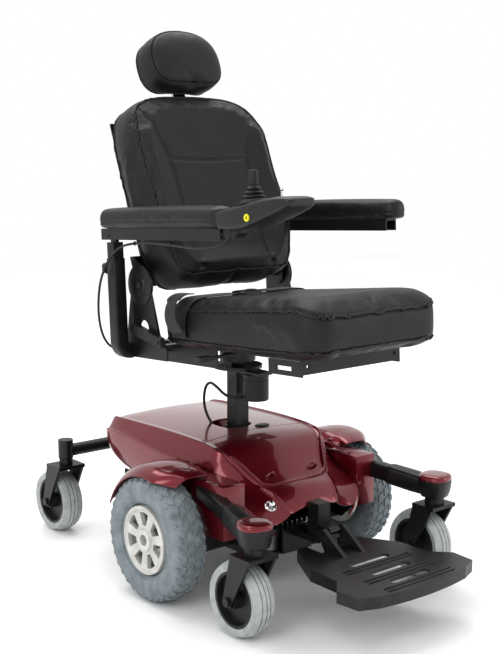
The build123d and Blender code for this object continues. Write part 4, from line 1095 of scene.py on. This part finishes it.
fit(shell, "chassis", "shroud_red", "shroud_body")
fit(lamp, "chassis", "chrome_bright")
fit(service_cap, "lid" if cap_spot.y < (AXLE_Y + 6) * MM else "chassis", "plastic_black")

# %% [markdown]
# ## Fenders
# Each fender is a strip of the same lacquered plastic that follows the tyre: domed across, with a rolled
# outer edge and a tongue at its front. A grid over the tyre's angle and the strip's width gives its shape.

# %% Fenders
TYRE_R = 133.35
STRAP_SECTION = ((178, 262), (192, 268), (204, 276), (204, 282), (190, 275), (178, 268))
STRAP_SCREW = [(6, 0), (6, 2.4), (4.5, 3.4), (1, 3.4)]
for side_name, side in SIDES.items():
    grid = []
    for i in range(49):
        angle = radians(22 + 98 * i / 48)
        front_cut = max(0.0, (angle - radians(102)) / radians(18))
        ring = []
        for j in range(23):
            w = j / 22
            x = 196 + (306 - 34 * front_cut**1.5 - 196) * w
            dome = 5 * sin(pi * min(1.0, w * 1.15)) + 2
            drop = 17 * max(0.0, (w - 0.72) / 0.28) ** 2.2
            inner_drop = 5 * max(0.0, (0.10 - w) / 0.10) ** 2
            r = TYRE_R + 15 + dome - drop - inner_drop + 5 * front_cut
            ring.append(at(BASE, side * x, r * cos(angle), TYRE_R + r * sin(angle)))
        grid.append(ring)
    fender = make(
        f"fender_{side_name}_lacquer",
        *skin(grid, closed_ring=False, cap_start=False, cap_end=False),
        LACQUER,
    )
    wall = fender.modifiers.new("wall", "SOLIDIFY")
    wall.thickness = 3.2 * MM
    wall.offset = 0
    roll = fender.modifiers.new("edge", "BEVEL")
    roll.width = 0.0012
    roll.segments = 3
    roll.limit_method = "ANGLE"
    roll.angle_limit = radians(50)
    bake(fender)
    fender.data.shade_smooth()
    fender.data.set_sharp_from_angle(angle=radians(60))
    bracket_rings = [
        [at(BASE, side * x, y, z + dz) for x, z in STRAP_SECTION]
        for y, dz in ((-62, -6), (-56, -3), (-30, 2), (0, 6), (18, 6), (22, 4))
    ]
    strap = make("fender_strap", *skin(bracket_rings), LACQUER, 40)
    screws = [
        turned("strap_screw", STRAP_SCREW, at(BASE, side * 191, y, 273 + dz), (0, 0, 1), ZINC)
        for y, dz in ((-38, 1), (2, 6))
    ]
    fit(fender, "chassis", "shroud_red", f"fender_{side_name}")
    fit(join(f"fender_strap_{side_name}", [strap, *screws]), "chassis", "shroud_red")

# %% [markdown]
# ## Drive tyres
# The tyres are solid grey rubber with a block tread: slanted blocks in two staggered rows across the crown,
# and smaller shoulder blocks. The casing is turned from its section, and the blocks are laid round it in a
# loop, each a little wedge that leans the way the wheel rolls.

# %% Tyre casing and tread
SECTION = [
    (73, -24), (78, -31), (88, -38), (100, -41), (112, -40), (121, -36), (126.5, -29), (129, -20), (130, -10),
    (130.4, 0), (130, 10), (129, 20), (126.5, 29), (121, 36),
    (112, 40), (100, 41), (88, 38), (78, 31), (73, 24),
]
BLOCKS = 34


def tyre_point(side, angle, radius, across):
    """A point on a drive tyre from its angle, radius and place across."""
    return at(BASE, side * 271 + across, radius * sin(angle), TYRE_R + radius * cos(angle))


def casing_radius(across):
    """The casing's radius under a place across the tread."""
    return 130.4 - 3.9 * (across / 29) ** 2 if abs(across) < 29 else 126.5 - (abs(across) - 29) * 0.85


def block(side, angle, across, long_deg, wide, slant_deg, height):
    """One tread block: a wedge with a smaller top, slanted across the tyre."""
    points = []
    for top in (0, 1):
        shrink = 0.86 if top else 1.0
        for u, w in ((-1, -1), (1, -1), (1, 1), (-1, 1)):
            x = across + w * wide / 2 * shrink
            a = angle + radians(u * long_deg / 2 * shrink + slant_deg * w / 2)
            points.append(tyre_point(side, a, casing_radius(x) + (height if top else -1.5), x))
    faces = [(4, 5, 6, 7), (0, 1, 5, 4), (1, 2, 6, 5), (2, 3, 7, 6), (3, 0, 4, 7)]
    return points, faces


for side_name, side in SIDES.items():
    rings = []
    for k in range(96):
        angle = 2 * pi * k / 96
        rings.append([tyre_point(side, angle, r, x) for r, x in SECTION])
    rings.append(rings[0])
    points, faces = skin(rings, cap_start=False, cap_end=False)
    casing = make("casing", points, faces, TYRE_GREY, 60)
    tread_points, tread_faces = [], []
    pitch = 2 * pi / BLOCKS
    for k in range(BLOCKS):
        rows_of_blocks = [
            (0.0, -9.2, 7.6, 15, 3.4, 2.9),
            (0.5, 9.2, 7.6, 15, 3.4, 2.9),
            (0.25, -24.5, 6.6, 12, -2.4, 3.2),
            (0.75, 24.5, 6.6, 12, -2.4, 3.2),
            (0.1, -34.0, 4.2, 5, 0, 3.0),
            (0.6, 34.0, 4.2, 5, 0, 3.0),
        ]
        for shift, across, long_deg, wide, slant, height in rows_of_blocks:
            more, more_faces = block(side, (k + shift) * pitch, across, long_deg, wide, slant, height)
            tread_faces += [tuple(i + len(tread_points) for i in face) for face in more_faces]
            tread_points += more
    tread = make("tread", tread_points, tread_faces, TYRE_GREY, 30)
    ridges = []
    for radius in (83, 104):
        across = side * (39.3 if radius > 90 else 34.5)
        circle = [tyre_point(side, 2 * pi * k / 96, radius, across) for k in range(96)]
        ridges.append(piping("ridge", circle, 1.3, TYRE_GREY, True))
    tyre = join(f"drive_tyre_{side_name}_rubber", [casing, tread, *ridges])
    fit(tyre, f"drive_wheel_{side_name}", "tyre_grey", f"drive_tyre_{side_name}")

# %% [markdown]
# ## Front arms
# Each front arm is a rounded bar in a thicker sleeve that ends in the caster's bearing housing. The housing
# tapers downwards, between round and square in plan, and a lacquered cap closes it.

# %% Front arms and caps
ARM_START = Vector((195, -50, 237))
STEM = Vector((254.5, -298, 0))
HOUSING_LOW = 190.0
HOUSING_HIGH = 228.0


def box_ring(centre, u, v, half_u, half_v, power=4.0, count=28):
    """A ring between an ellipse and a box, in the plane of two unit vectors; sizes in millimetres."""
    ring = []
    for k in range(count):
        c, s = cos(2 * pi * k / count), sin(2 * pi * k / count)
        x = half_u * abs(c) ** (2 / power) * (1 if c > 0 else -1)
        y = half_v * abs(s) ** (2 / power) * (1 if s > 0 else -1)
        ring.append(centre + (u * x + v * y) * MM)
    return ring


for side_name, side in SIDES.items():
    start = at(BASE, side * ARM_START.x, ARM_START.y, ARM_START.z)
    stop = at(BASE, side * STEM.x, STEM.y, 209)
    run = (stop - start).normalized()
    across = Vector((0, 0, 1)).cross(run).normalized()
    above = run.cross(across)
    bar_profile = [
        (0.00, 14, 17), (0.02, 16.5, 18.5), (0.55, 16.5, 18.5), (0.56, 18.5, 20.5), (0.60, 19.5, 21.5),
        (0.80, 20.5, 22), (0.97, 21, 20),
    ]
    bar_rings = [box_ring(start.lerp(stop, t), across, above, a, b) for t, a, b in bar_profile]
    bar = make("arm_bar", *skin(bar_rings), POWDER, 40)
    eye_profile = [(8, -17), (23, -17), (25, -15), (25, 15), (23, 17), (8, 17)]
    eye = turned("arm_eye", eye_profile, start, (1, 0, 0), POWDER)
    housing_profile = [
        (HOUSING_LOW, 24),
        (HOUSING_LOW + 1.5, 27),
        (HOUSING_LOW + 12, 30.5),
        (HOUSING_HIGH - 8, 33),
        (HOUSING_HIGH, 33),
    ]
    stem_foot = at(BASE, side * STEM.x, STEM.y, 0)
    ahead = Vector((run.x, run.y, 0)).normalized()
    beside = Vector((0, 0, 1)).cross(ahead)

    def stem_ring(z, r, power, foot=stem_foot, ahead=ahead, beside=beside):
        return box_ring(foot + Vector((0, 0, z * MM)), ahead, beside, r, r, power)

    housing = make(
        "arm_housing",
        *skin([stem_ring(z, r, 2.9) for z, r in housing_profile]),
        POWDER,
        40,
    )
    cast = join(f"front_arm_{side_name}_cast", [bar, eye, housing])
    fit(cast, f"front_arm_{side_name}", "frame_black", f"front_arm_{side_name}")
    cap_profile = [(0.4, 33.4), (5.5, 33.4), (8.5, 32.2), (10.8, 29.5), (12.0, 25), (12.4, 14)]
    cap = make(
        f"front_cap_{side_name}_lacquer",
        *skin([stem_ring(HOUSING_HIGH + z, r, 2.7) for z, r in cap_profile]),
        LACQUER,
        50,
    )
    fit(cap, f"front_arm_{side_name}", "shroud_red", f"front_cap_{side_name}")

# %% [markdown]
# ## Armrest receivers
# A square tube comes out of the seat frame on each side and bends upwards, and the armrest's post slides
# inside it. A star knob on a clamp screw holds the height.

# %% Receivers and knobs
RECEIVER_Y = 130.0
RECEIVER_TOP = 236.0
TUBE_HALF = 15.5
BORE_HALF = 12.95
seat_up = (SEAT.to_3x3() @ Vector((0, 0, 1))).normalized()
seat_back = (SEAT.to_3x3() @ Vector((0, 1, 0))).normalized()
sideways = Vector((1, 0, 0))
receiver_parts = []
for side in SIDES.values():
    bend = [(199, 31), (205, 31)] + [
        (205 + 21 * sin(radians(a)), 52 - 21 * cos(radians(a))) for a in (15, 30, 45, 60, 75, 90)
    ]
    outer = bend + [(226, 90), (226, 150), (226, RECEIVER_TOP - 1)]
    rings = []
    for i, (x, z) in enumerate(outer):
        x1, z1 = outer[min(i + 1, len(outer) - 1)]
        x0, z0 = outer[max(i - 1, 0)]
        run = (at(SEAT, side * x1, 0, z1) - at(SEAT, side * x0, 0, z0)).normalized()
        across = run.cross(seat_back)
        middle = at(SEAT, side * x, RECEIVER_Y, z)
        rings.append(box_ring(middle, across, seat_back, TUBE_HALF, TUBE_HALF, 7, 32))
    lip = ((RECEIVER_TOP, TUBE_HALF - 0.8), (RECEIVER_TOP, 13.6))
    mouth = (*lip, (RECEIVER_TOP - 1, BORE_HALF), (62, BORE_HALF))
    for z, half in mouth:
        middle = at(SEAT, side * ARM_X, RECEIVER_Y, z)
        rings.append(box_ring(middle, seat_up.cross(seat_back), seat_back, half, half, 12, 32))
    receiver_parts.append(make("receiver", *skin(rings), POWDER, 35))
    knob_at = at(SEAT, side * ARM_X, RECEIVER_Y + TUBE_HALF, RECEIVER_TOP - 22)
    receiver_parts.append(turned("knob_screw", [(5, 0), (5, 9)], knob_at, seat_back, ZINC, 16))
    knob_rings = []
    for h, r, wave in ((8, 9, 0), (9, 12.5, 0.8), (11, 14, 1.4), (20, 14, 1.4), (23, 12.5, 0.9), (24, 9, 0)):
        ring = []
        for k in range(50):
            a = 2 * pi * k / 50
            spoke = sideways * cos(a) + seat_up * sin(a)
            ring.append(knob_at + (seat_back * h + spoke * (r + wave * cos(5 * a))) * MM)
        knob_rings.append(ring)
    receiver_parts.append(make("knob", *skin(knob_rings), MOULDED, 40))
fit(join("arm_receiver_tubes", receiver_parts), "seat", "frame_black", "arm_receivers")

# %% [markdown]
# ## Controller
# The joystick housing is a moulded wedge that hangs ahead of the right pad. Its section is skinned along its
# length and hollowed for the stick, the switch and the charging plug. A bracket slides into the armrest's
# rail. The rubber boot has four folds and is made in a lower and an upper half.

# %% Joystick housing and boot
STICK = Vector((-226, -347, 341))
BOX_HALF = 39.0
side_section = [
    (-277, 303, 333, 34), (-279, 300, 335.5, 37.5), (-300, 297.5, 339.5, 39), (-330, 297, 344.5, 39),
    (-350, 299, 347.5, 39), (-400, 313, 355, 39), (-440, 325, 358.4, 38.6), (-462, 333, 358, 37),
    (-474, 339, 356, 34), (-480, 344, 353, 29), (-481.5, 347, 350.5, 24),
]
housing_rings = []
for y, low, high, half in side_section:
    centre = at(SEAT, STICK.x, y, (low + high) / 2)
    housing_rings.append(box_ring(centre, sideways, seat_up, half, (high - low) / 2, 5.0, 48))
housing = make("joystick_housing_shell", *skin(housing_rings), MOULDED, 55)


def top_of_housing(y):
    """Height of the housing's top along the seat."""
    for (y0, _, high0, _), (y1, _, high1, _) in zip(side_section, side_section[1:]):
        if y0 >= y >= y1:
            return high0 + (high1 - high0) * (y0 - y) / (y0 - y1)
    return side_section[-1][2]


SWITCH_PLAN = ((-6, -434), (6, -434), (6, -418), (-6, -418))
BRACKET_SCREW = [(4, -1), (4, 1.2), (3, 2.2), (0, 2.4)]
drills = [
    turned("stick_well", [(19, -8), (19, 40)], at(SEAT, STICK.x, STICK.y, STICK.z), seat_up, MOULDED),
    turned("socket_well", [(7, -6), (7, 12)], at(SEAT, STICK.x - BOX_HALF, -372, 322), (1, 0, 0), MOULDED),
    make(
        "switch_well",
        *skin([[at(SEAT, STICK.x + x, y, z) for x, y in SWITCH_PLAN] for z in (341, 380)]),
        MOULDED,
    ),
]
for drill in drills:
    cut(housing, drill, "DIFFERENCE")
    bpy.data.objects.remove(drill)
housing.data.shade_smooth()
housing.data.set_sharp_from_angle(angle=radians(40))
bracket_side = [(-252, 282), (-252, 298.5), (-282, 298.5), (-312, 300), (-312, 292), (-300, 284), (-290, 282)]
bracket = make(
    "bracket",
    *skin([[at(SEAT, STICK.x + x, y, z) for y, z in bracket_side] for x in (-12, 12)]),
    POWDER,
    30,
)
bracket_screws = [
    turned("bracket_screw", BRACKET_SCREW, at(SEAT, STICK.x - 12, y, 290), (-1, 0, 0), ZINC, 20)
    for y in (-262, -284)
]
bezel_ring = [
    at(SEAT, STICK.x + 33 * cos(a), STICK.y + 31 * sin(a), top_of_housing(STICK.y + 31 * sin(a)) + 0.4)
    for a in (2 * pi * k / 40 for k in range(40))
]
bezel = piping("bezel", bezel_ring, 1.6, MOULDED, True)
controller = join("joystick_housing_moulded", [housing, bracket, *bracket_screws, bezel])
fit(controller, "armrest_right", "plastic_black", "joystick_housing")

BOOT_FOOT = 350.0
BOOT_NECK = 381.5
BOOT_MIDDLE = 365.5


def boot_radius(z):
    """The bellows' radius at a height: a cone with four folds."""
    t = (z - BOOT_FOOT) / (BOOT_NECK - BOOT_FOOT)
    return 27.5 + (8.5 - 27.5) * t**0.85 + 2.5 * sin(2 * pi * 4 * t) * min(1, 4 * t, 5 * (1 - t))


def boot_piece(name, low, high, steps):
    rings = []
    for n in range(steps + 1):
        z = low + (high - low) * n / steps
        ring = []
        for k in range(36):
            a = 2 * pi * k / 36
            r = boot_radius(z)
            x, y = r * cos(a), r * sin(a)
            slope = 0.157 * -y * max(0.0, 1 - (z - BOOT_FOOT) / 14)
            ring.append(at(SEAT, STICK.x + x, STICK.y + y, z + slope))
        rings.append(ring)
    piece = make(name, *skin(rings, cap_start=False, cap_end=high == BOOT_NECK), RUBBER)
    piece.data.validate()
    return piece


lower_boot = boot_piece("boot_lower_folds", BOOT_FOOT, BOOT_MIDDLE, 26)
upper_boot = boot_piece("boot_upper_folds", BOOT_MIDDLE, BOOT_NECK, 26)
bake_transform(lower_boot)
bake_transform(upper_boot)
for piece in (lower_boot, upper_boot):
    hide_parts("joystick_boot")
print("boot halves:", len(lower_boot.data.polygons), len(upper_boot.data.polygons), "faces")

# %% [markdown]
# ## Cables
# Both cables follow smooth splines. The joystick lead crosses two joints of the armrest, so it is made in
# three lengths, and the first rides on the right armrest.

# %% Joystick lead and lift motor lead
JOYSTICK_ROUTE = [
    (-248, -302, 298.5), (-248, -300, 287), (-249, -286, 275), (-250, -256, 267), (-250, -216, 263),
    (-250, -166, 264), (-249, -116, 268), (-248, -66, 271), (-248, -16, 271.5), (-248, 34, 270),
    (-249, 74, 263), (-250, 104, 247), (-252, 130, 223), (-254, 150, 192), (-255, 160, 158),
    (-254, 166, 124), (-251, 168, 94), (-244, 169, 66), (-231, 169, 44), (-212, 168, 32),
    (-191, 163, 29), (-178, 153, 30), (-173, 145, 31),
]
MOTOR_Y = -43.0
LIFT_ROUTE = [
    (-27, MOTOR_Y + 12, 396), (-44, MOTOR_Y + 20, 394), (-54, MOTOR_Y + 42, 398), (-57, MOTOR_Y + 68, 414),
    (-57, MOTOR_Y + 90, 421), (-54, MOTOR_Y + 110, 411), (-51, MOTOR_Y + 122, 388), (-48, MOTOR_Y + 126, 362),
    (-44, MOTOR_Y + 120, 337), (-38, MOTOR_Y + 106, 316), (-33, MOTOR_Y + 92, 300),
]


def spline_line(frame_matrix, route):
    """Points of the smooth spline whose control points are a cord's route."""
    data = bpy.data.curves.new("route", "CURVE")
    data.dimensions = "3D"
    data.resolution_u = 10
    spline = data.splines.new("NURBS")
    spline.points.add(len(route) - 1)
    for point, place in zip(spline.points, route):
        point.co = (*at(frame_matrix, *place), 1)
    spline.order_u = 3
    spline.use_endpoint_u = True
    thing = bpy.data.objects.new("route", data)
    bpy.context.scene.collection.objects.link(thing)
    view = bpy.context.evaluated_depsgraph_get()
    mesh = bpy.data.meshes.new_from_object(thing.evaluated_get(view))
    line = [vertex.co.copy() for vertex in mesh.vertices]
    bpy.data.objects.remove(thing)
    return line


def run_of(line):
    """Length of a line of points, in metres."""
    return sum((b - a).length for a, b in zip(line, line[1:]))


def cord_piece(name, line, diameter):
    """A cable's tube over a line."""
    tube = make(name, *skin(tube_rings(line, diameter / 2 * MM, 14)), SHEATH)
    return tube


whole = spline_line(SEAT, JOYSTICK_ROUTE)


def nearest(line, place):
    return min(range(len(line)), key=lambda i: (line[i] - place).length)


flip_from = nearest(whole, at(SEAT, -248, 34, 270))
flip_to = nearest(whole, at(SEAT, -254, 150, 192))
stretches = [
    ("joystick_lead_under_rail", whole[: flip_from + 1]),
    ("joystick_lead_at_hinge", whole[flip_from : flip_to + 1]),
    ("joystick_lead_to_frame", whole[flip_to:]),
]
leads = []
for name, line in stretches:
    leads.append(cord_piece(name, line, 5.0))
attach(leads[0], "armrest_right")
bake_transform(leads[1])
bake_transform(leads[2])
for lead in leads:
    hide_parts("joystick_cable")
lift_line = spline_line(Matrix.Identity(4), LIFT_ROUTE)
lift_lead = cord_piece("lift_motor_lead", lift_line, 6.0)
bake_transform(lift_lead)
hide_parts("lift_cable")
TIE_R = 3.4
tie_turns = [2 * pi * k / 20 for k in range(20)]
tie_ring = [at(SEAT, -248 + TIE_R * cos(a), 20, 270.6 + TIE_R * sin(a)) for a in tie_turns]
fit(piping("cable_tie", tie_ring, 1.1, MOULDED, True), "armrest_right", "plastic_black")
print("joystick lead", round(run_of(whole), 3), "m, lift lead", round(run_of(lift_line), 3), "m")

# %% [markdown]
# ## Lap belt
# The belt is 48 mm webbing that comes up beside the cushion, folds over its edge and lies across it to a
# side-release buckle. Rays cast on the finished cushion find the surface that it lies on.

# %% Webbing and buckle
BELT_Y = -34.0
BELT_HALF = 24.0
BELT_THICK = 1.9
WEB_EDGE = [(-0.96, 1), (-0.5, 1), (0, 1), (0.5, 1), (0.96, 1)]
WEB_SECTION = [(-1, 0), *WEB_EDGE, (1, 0), *[(x, -y) for x, y in reversed(WEB_EDGE)]]
cushion_tree = BVHTree.FromObject(cushion, bpy.context.evaluated_depsgraph_get())


def ribbon(name, line, outward, widths, material):
    """Webbing along a line: outward gives the side that faces away, widths the half-width at each point."""
    rings = []
    for i, (point, out) in enumerate(zip(line, outward)):
        run = (line[min(i + 1, len(line) - 1)] - line[max(i - 1, 0)]).normalized()
        wide = run.cross(out).normalized()
        out = wide.cross(run).normalized()
        w, t = widths[i] * MM, BELT_THICK / 2 * MM
        rings.append([
            point + wide * w * x + out * t * y
            for x, y in WEB_SECTION
        ])
    return make(name, *skin(rings), material, 50)


def surface(origin, direction, clear):
    """The outermost hit over the belt's width, lifted off the vinyl; returns the point."""
    best = None
    for dy in (-22, -11, 0, 11, 22):
        start = origin + seat_back * dy * MM
        hit = cushion_tree.ray_cast(start, direction)[0]
        if hit is not None:
            reach = (hit - start).length
            best = reach if best is None else min(best, reach)
    return origin + direction * (best - clear * MM)


belt_parts = []
for side in SIDES.values():
    line, outward = [], []
    out_side = Vector((side, 0, 0))
    for z in (68, 80, 94, 108):
        line.append(surface(at(SEAT, side * 260, BELT_Y, z), -out_side, 5.0))
        outward.append(out_side)
    heart = at(SEAT, side * 140, BELT_Y, 112)
    for angle in range(8, 84, 8):
        way = out_side * cos(radians(angle)) + seat_up * sin(radians(angle))
        line.append(surface(heart + way * 0.13, -way, 4.6))
        outward.append(way)
    for x in range(138, 20, -12):
        line.append(surface(at(SEAT, side * x, BELT_Y, 260), -seat_up, 2.4 + (1.2 if x % 24 == 18 else 0)))
        outward.append(seat_up)
    for _ in range(2):
        line = [line[0]] + [(a + b * 2 + c) / 4 for a, b, c in zip(line, line[1:], line[2:])] + [line[-1]]
    widths = [BELT_HALF] * (len(line) - 3) + [22, 19, 17]
    belt_parts.append(ribbon("belt_strap", line, outward, widths, WEBBING))
tail_line = [
    at(SEAT, x, y, z)
    for x, y, z in (
        (-150, -30, 160), (-172, -31, 160), (-190, -33, 153), (-203, -36, 138),
        (-209, -40, 118), (-207, -44, 100), (-201, -47, 88), (-196, -48, 82),
    )
]
tail_line = flowing(tail_line, 4)
tail_out = []
for i, point in enumerate(tail_line):
    run = tail_line[min(i + 1, len(tail_line) - 1)] - tail_line[max(i - 1, 0)]
    tail_out.append(Vector((-1, 0, 0)) if abs(run.z) > abs(run.x) else seat_up)
belt_parts.append(ribbon("belt_tail", tail_line, tail_out, [19] * len(tail_line), WEBBING))
BUCKLE_Y = BELT_Y - 5
BUCKLE_SINKS = 5.0
buckle_z = (SEAT.inverted() @ surface(at(SEAT, 0, BUCKLE_Y, 260), -seat_up, -BUCKLE_SINKS)).z / MM
buckle_profile = [(0.0, 30, 19), (1.2, 32, 21), (9, 32, 21), (11.5, 29.5, 19), (12.3, 24, 14)]
button_profile = [(10, 10, 12), (13, 9.5, 11.5), (13.6, 8, 10)]


def buckle_ring(x, height, half_wide, half_long, count):
    """One level of the buckle or its button, above the cushion."""
    centre = at(SEAT, x, BUCKLE_Y, buckle_z + height)
    return box_ring(centre, sideways, seat_back, half_wide, half_long, 4.0, count)


buckle = make(
    "buckle_body",
    *skin([buckle_ring(0, h, a, b, 36) for h, a, b in buckle_profile]),
    MOULDED,
    40,
)
button = make(
    "buckle_button",
    *skin([buckle_ring(14, h, a, b, 28) for h, a, b in button_profile]),
    RUBBER,
    40,
)
fit(join("lap_belt_webbing", belt_parts), "seat", "webbing_black", "lap_belt")
fit(join("lap_belt_buckle", [buckle, button]), "seat", "plastic_black", "lap_belt")

# %% [markdown]
# ## Recline hubs
# The backrest turns on a round hub on each side, with a bolt through its middle.

# %% Recline hubs
HUB_PROFILE = [(8, 0), (40, 0), (44, 0.6), (44, 1.4), (42, 2.0), (20, 2.2), (18, 4.0), (8, 4.0)]
for side_name, side in SIDES.items():
    hub_at = at(SEAT, side * 199.3, RECLINE.y, RECLINE.z)
    plate = turned("hub_plate", HUB_PROFILE, hub_at, (side, 0, 0), POWDER, 48)
    bolt = turned("hub_bolt", [(9, 2.2), (9, 5.6), (7, 6.8), (0, 7)], hub_at, (side, 0, 0), ZINC, 6)
    fit(join(f"recline_hub_{side_name}", [plate, bolt]), "seat", "frame_black")

# %% [markdown]
# ## Footplate ribs
# Moulded ribs stiffen the footplate and give shoes a grip. They stand between its slots.

# %% Footplate ribs
plate_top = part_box("footplate")[1][2]
plate_tree = BVHTree.FromObject(nodes["footplate"], bpy.context.evaluated_depsgraph_get())
rib_parts = []
for y in (-372, -384, -431, -443, -482, -494):
    ends = [at(BASE, x, y, 0) for x in (-92, -60, 0, 60, 92)]
    line = []
    for end in ends:
        hit = plate_tree.ray_cast(Vector((end.x, end.y, plate_top + 0.05)), Vector((0, 0, -1)))[0]
        if hit is not None:
            line.append(hit + Vector((0, 0, 0.0006)))
    if len(line) > 1:
        rib_parts.append(piping("rib", line, 1.5, FOOT_PLASTIC))
fit(join("footplate_ribs", rib_parts), "footrest", "plastic_black")

# %% [markdown]
# ## Inner panels
# Black moulded panels fill the space between the nose and the wheels and hide the electronics from the side.

# %% Inner panels
for side_name, side in SIDES.items():
    panel_side = [(-150, 150), (-150, 201), (-100, 226), (-62, 240), (-40, 240), (-40, 122), (-120, 122)]
    rings = [[at(BASE, side * x, y, z) for y, z in panel_side] for x in (148, 151)]
    fit(make(f"inner_panel_{side_name}", *skin(rings), CHASSIS_BLACK, 30), "chassis", "plastic_black")

# %% [markdown]
# ## Studio
# A pale floor that runs off into a white room, one large soft light over the chair, a softer one from the
# right and a low fill. The lacquer needs something bright to mirror, so the overhead light is as wide as the
# chair is long.

# %% Floor and lights
floor_points = [(-6, -6, 0), (6, -6, 0), (6, 6, 0), (-6, 6, 0)]
floor_material = textured("matt white paper floor", "#fbfbfb", "#ffffff", 0.9, 40.0, 0.02, patch_mm=900)
floor = make("floor", [Vector(p) for p in floor_points], [(0, 1, 2, 3)], floor_material)


def soft_light(name, place, aim, width, height, power, colour="#ffffff"):
    """A rectangular area light aimed at a point."""
    data = bpy.data.lights.new(name, "AREA")
    data.shape = "RECTANGLE"
    data.size = width
    data.size_y = height
    data.energy = power
    data.color = srgb(colour)[:3]
    light = bpy.data.objects.new(name, data)
    light.location = place
    light.rotation_euler = (Vector(aim) - Vector(place)).to_track_quat("-Z", "Y").to_euler()
    bpy.context.scene.collection.objects.link(light)
    return light


soft_light("overhead", (0.3, 0.9, 3.2), (0, 0, 0.5), 2.8, 2.2, 60)
soft_light("right_key", (-3.0, -1.2, 2.0), (0, 0, 0.6), 1.4, 1.8, 26)
soft_light("left_fill", (2.6, -2.4, 1.4), (0, 0, 0.5), 1.6, 1.8, 16)
bpy.context.scene.view_settings.view_transform = "Standard"
bpy.context.scene.view_settings.gamma = 0.84
world = bpy.data.worlds.new("white room")
bpy.context.scene.world = world
world.use_nodes = True
world.node_tree.nodes["Background"].inputs["Color"].default_value = srgb("#ffffff")
world.node_tree.nodes["Background"].inputs["Strength"].default_value = 1.0
